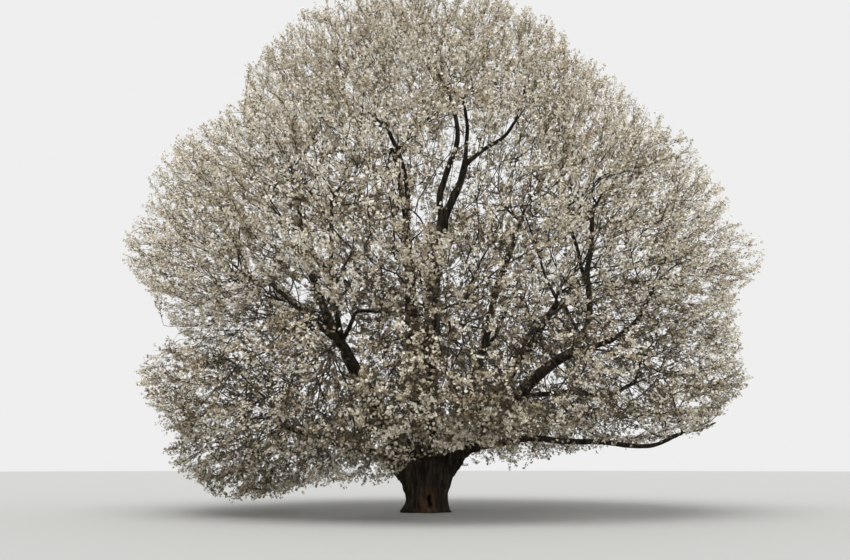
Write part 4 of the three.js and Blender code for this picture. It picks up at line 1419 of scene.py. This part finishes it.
# Young leaves at the shoots, bronze and olive, more of them high in the crown
leafLook = {
    "size": (0.03, 0.046), "low": 0.35, "high": 0.95, "height": 15, "patchy": 1.6,
    "mixing": 0.3, "bronze": 0.12,  # where patches, with some chance, are above this
}
leafTints = {
    "leaves_bronze": {"dark": (0.17, 0.085, 0.03), "light": (0.36, 0.20, 0.08)},
    "leaves_olive": {"dark": (0.15, 0.14, 0.045), "light": (0.31, 0.29, 0.11)},
}
leafRise = np.clip(middles[:, 2] / leafLook["height"], 0, 1)
leafChance = leafLook["low"] + (leafLook["high"] - leafLook["low"]) * leafRise
leafChance *= np.clip(1 + leafLook["patchy"] * patches, 0, 1)
leafShoot = np.flatnonzero(random.random(len(middles)) < leafChance)
leafShape = np.array([[0, 0, 0], [0.38, 0.9, 0.14], [0, 2.0, -0.1], [-0.38, 0.9, 0.14]])
leafFaces = np.array([[0, 1, 2], [0, 2, 3]])
leafShare = random.random(len(leafShoot))[:, None]
leafAt = shootStart[leafShoot] + shootWay[leafShoot] * shootLength[leafShoot][:, None] * leafShare
leafFacing = unit(random.normal(size=leafAt.shape))
leafSize = random.uniform(*leafLook["size"], len(leafAt))
leafTone = patches[leafShoot] + leafLook["mixing"] * random.normal(size=len(leafAt))
bronze = leafTone > leafLook["bronze"]
for name, kind in (("leaves_bronze", bronze), ("leaves_olive", ~bronze)):
    part = scattered(leafShape, leafFaces, leafAt[kind], leafFacing[kind], leafSize[kind])
    material = twigFinish(name + "_skin", **leafTints[name])
    scatterPieces(name, [part], material, massNodes)

twigTints = {
    "branch_bark": {"dark": (0.016, 0.012, 0.009), "light": (0.045, 0.037, 0.03)},
    "twig_bark": {"dark": (0.018, 0.012, 0.009), "light": (0.042, 0.03, 0.023)},
}
branchBark, twigBark = (twigFinish(name, **look) for name, look in twigTints.items())
for name, runs, sides, material in (("branches", thick, 5, branchBark), ("twigs", thin, 3, twigBark)):
    vertices, quads, caps = tubes(runs, sides)
    piece = meshFrom(name, vertices, quads, caps)
    smooth(piece)
    finished(piece, material, massNodes)
vertices, faces = spikes(shootStart, shootWay, shootLength, shootLook["radius"])
scatterPieces("shoots", [(vertices, faces)], twigBark, massNodes)

finished(trunkPiece, barkFinish("trunk_bark_finish", True), ["trunk"])
boughNodes = [name for name in nodeNames if name.startswith("bough_")]
finished(boughPiece, barkFinish("bough_bark_finish", False), boughNodes)

# Floor, light and camera
bpy.ops.object.select_all(action="DESELECT")
bpy.ops.mesh.primitive_circle_add(vertices=96, radius=160, fill_type="NGON", location=(0, 0, -0.002))
floor = bpy.context.object
floor.name = "floor"
floorFinish = Finish("floor_paint")
floorFinish.set(Base_Color=(0.35, 0.35, 0.34), Roughness=0.9)
floor.data.materials.append(floorFinish.material)

world = bpy.data.worlds.new("studio")
world.use_nodes = True
background = world.node_tree.nodes["Background"]
background.inputs["Color"].default_value = (1, 1, 1, 1)
background.inputs["Strength"].default_value = 0.86
bpy.context.scene.world = world

lamp = {"energy": 3.4, "angle": 50, "turn": (26, 0, -12)}
turn = [math.radians(angle) for angle in lamp["turn"]]
bpy.ops.object.light_add(type="SUN", location=(0, 0, 30), rotation=turn)
light = bpy.context.object
light.name = "key"
light.data.energy = lamp["energy"]
light.data.angle = math.radians(lamp["angle"])

turn = (math.radians(90 + view["pitch"]), 0, 0)
bpy.ops.object.camera_add(location=(0, -view["distance"], view["eye"]), rotation=turn)
camera = bpy.context.object
camera.data.sensor_width = view["sensor"]
camera.data.lens = view["focal"] / view["frame"] * view["sensor"]
camera.data.clip_end = 500
bpy.context.scene.camera = camera
bpy.context.scene.view_settings.view_transform = "Standard"
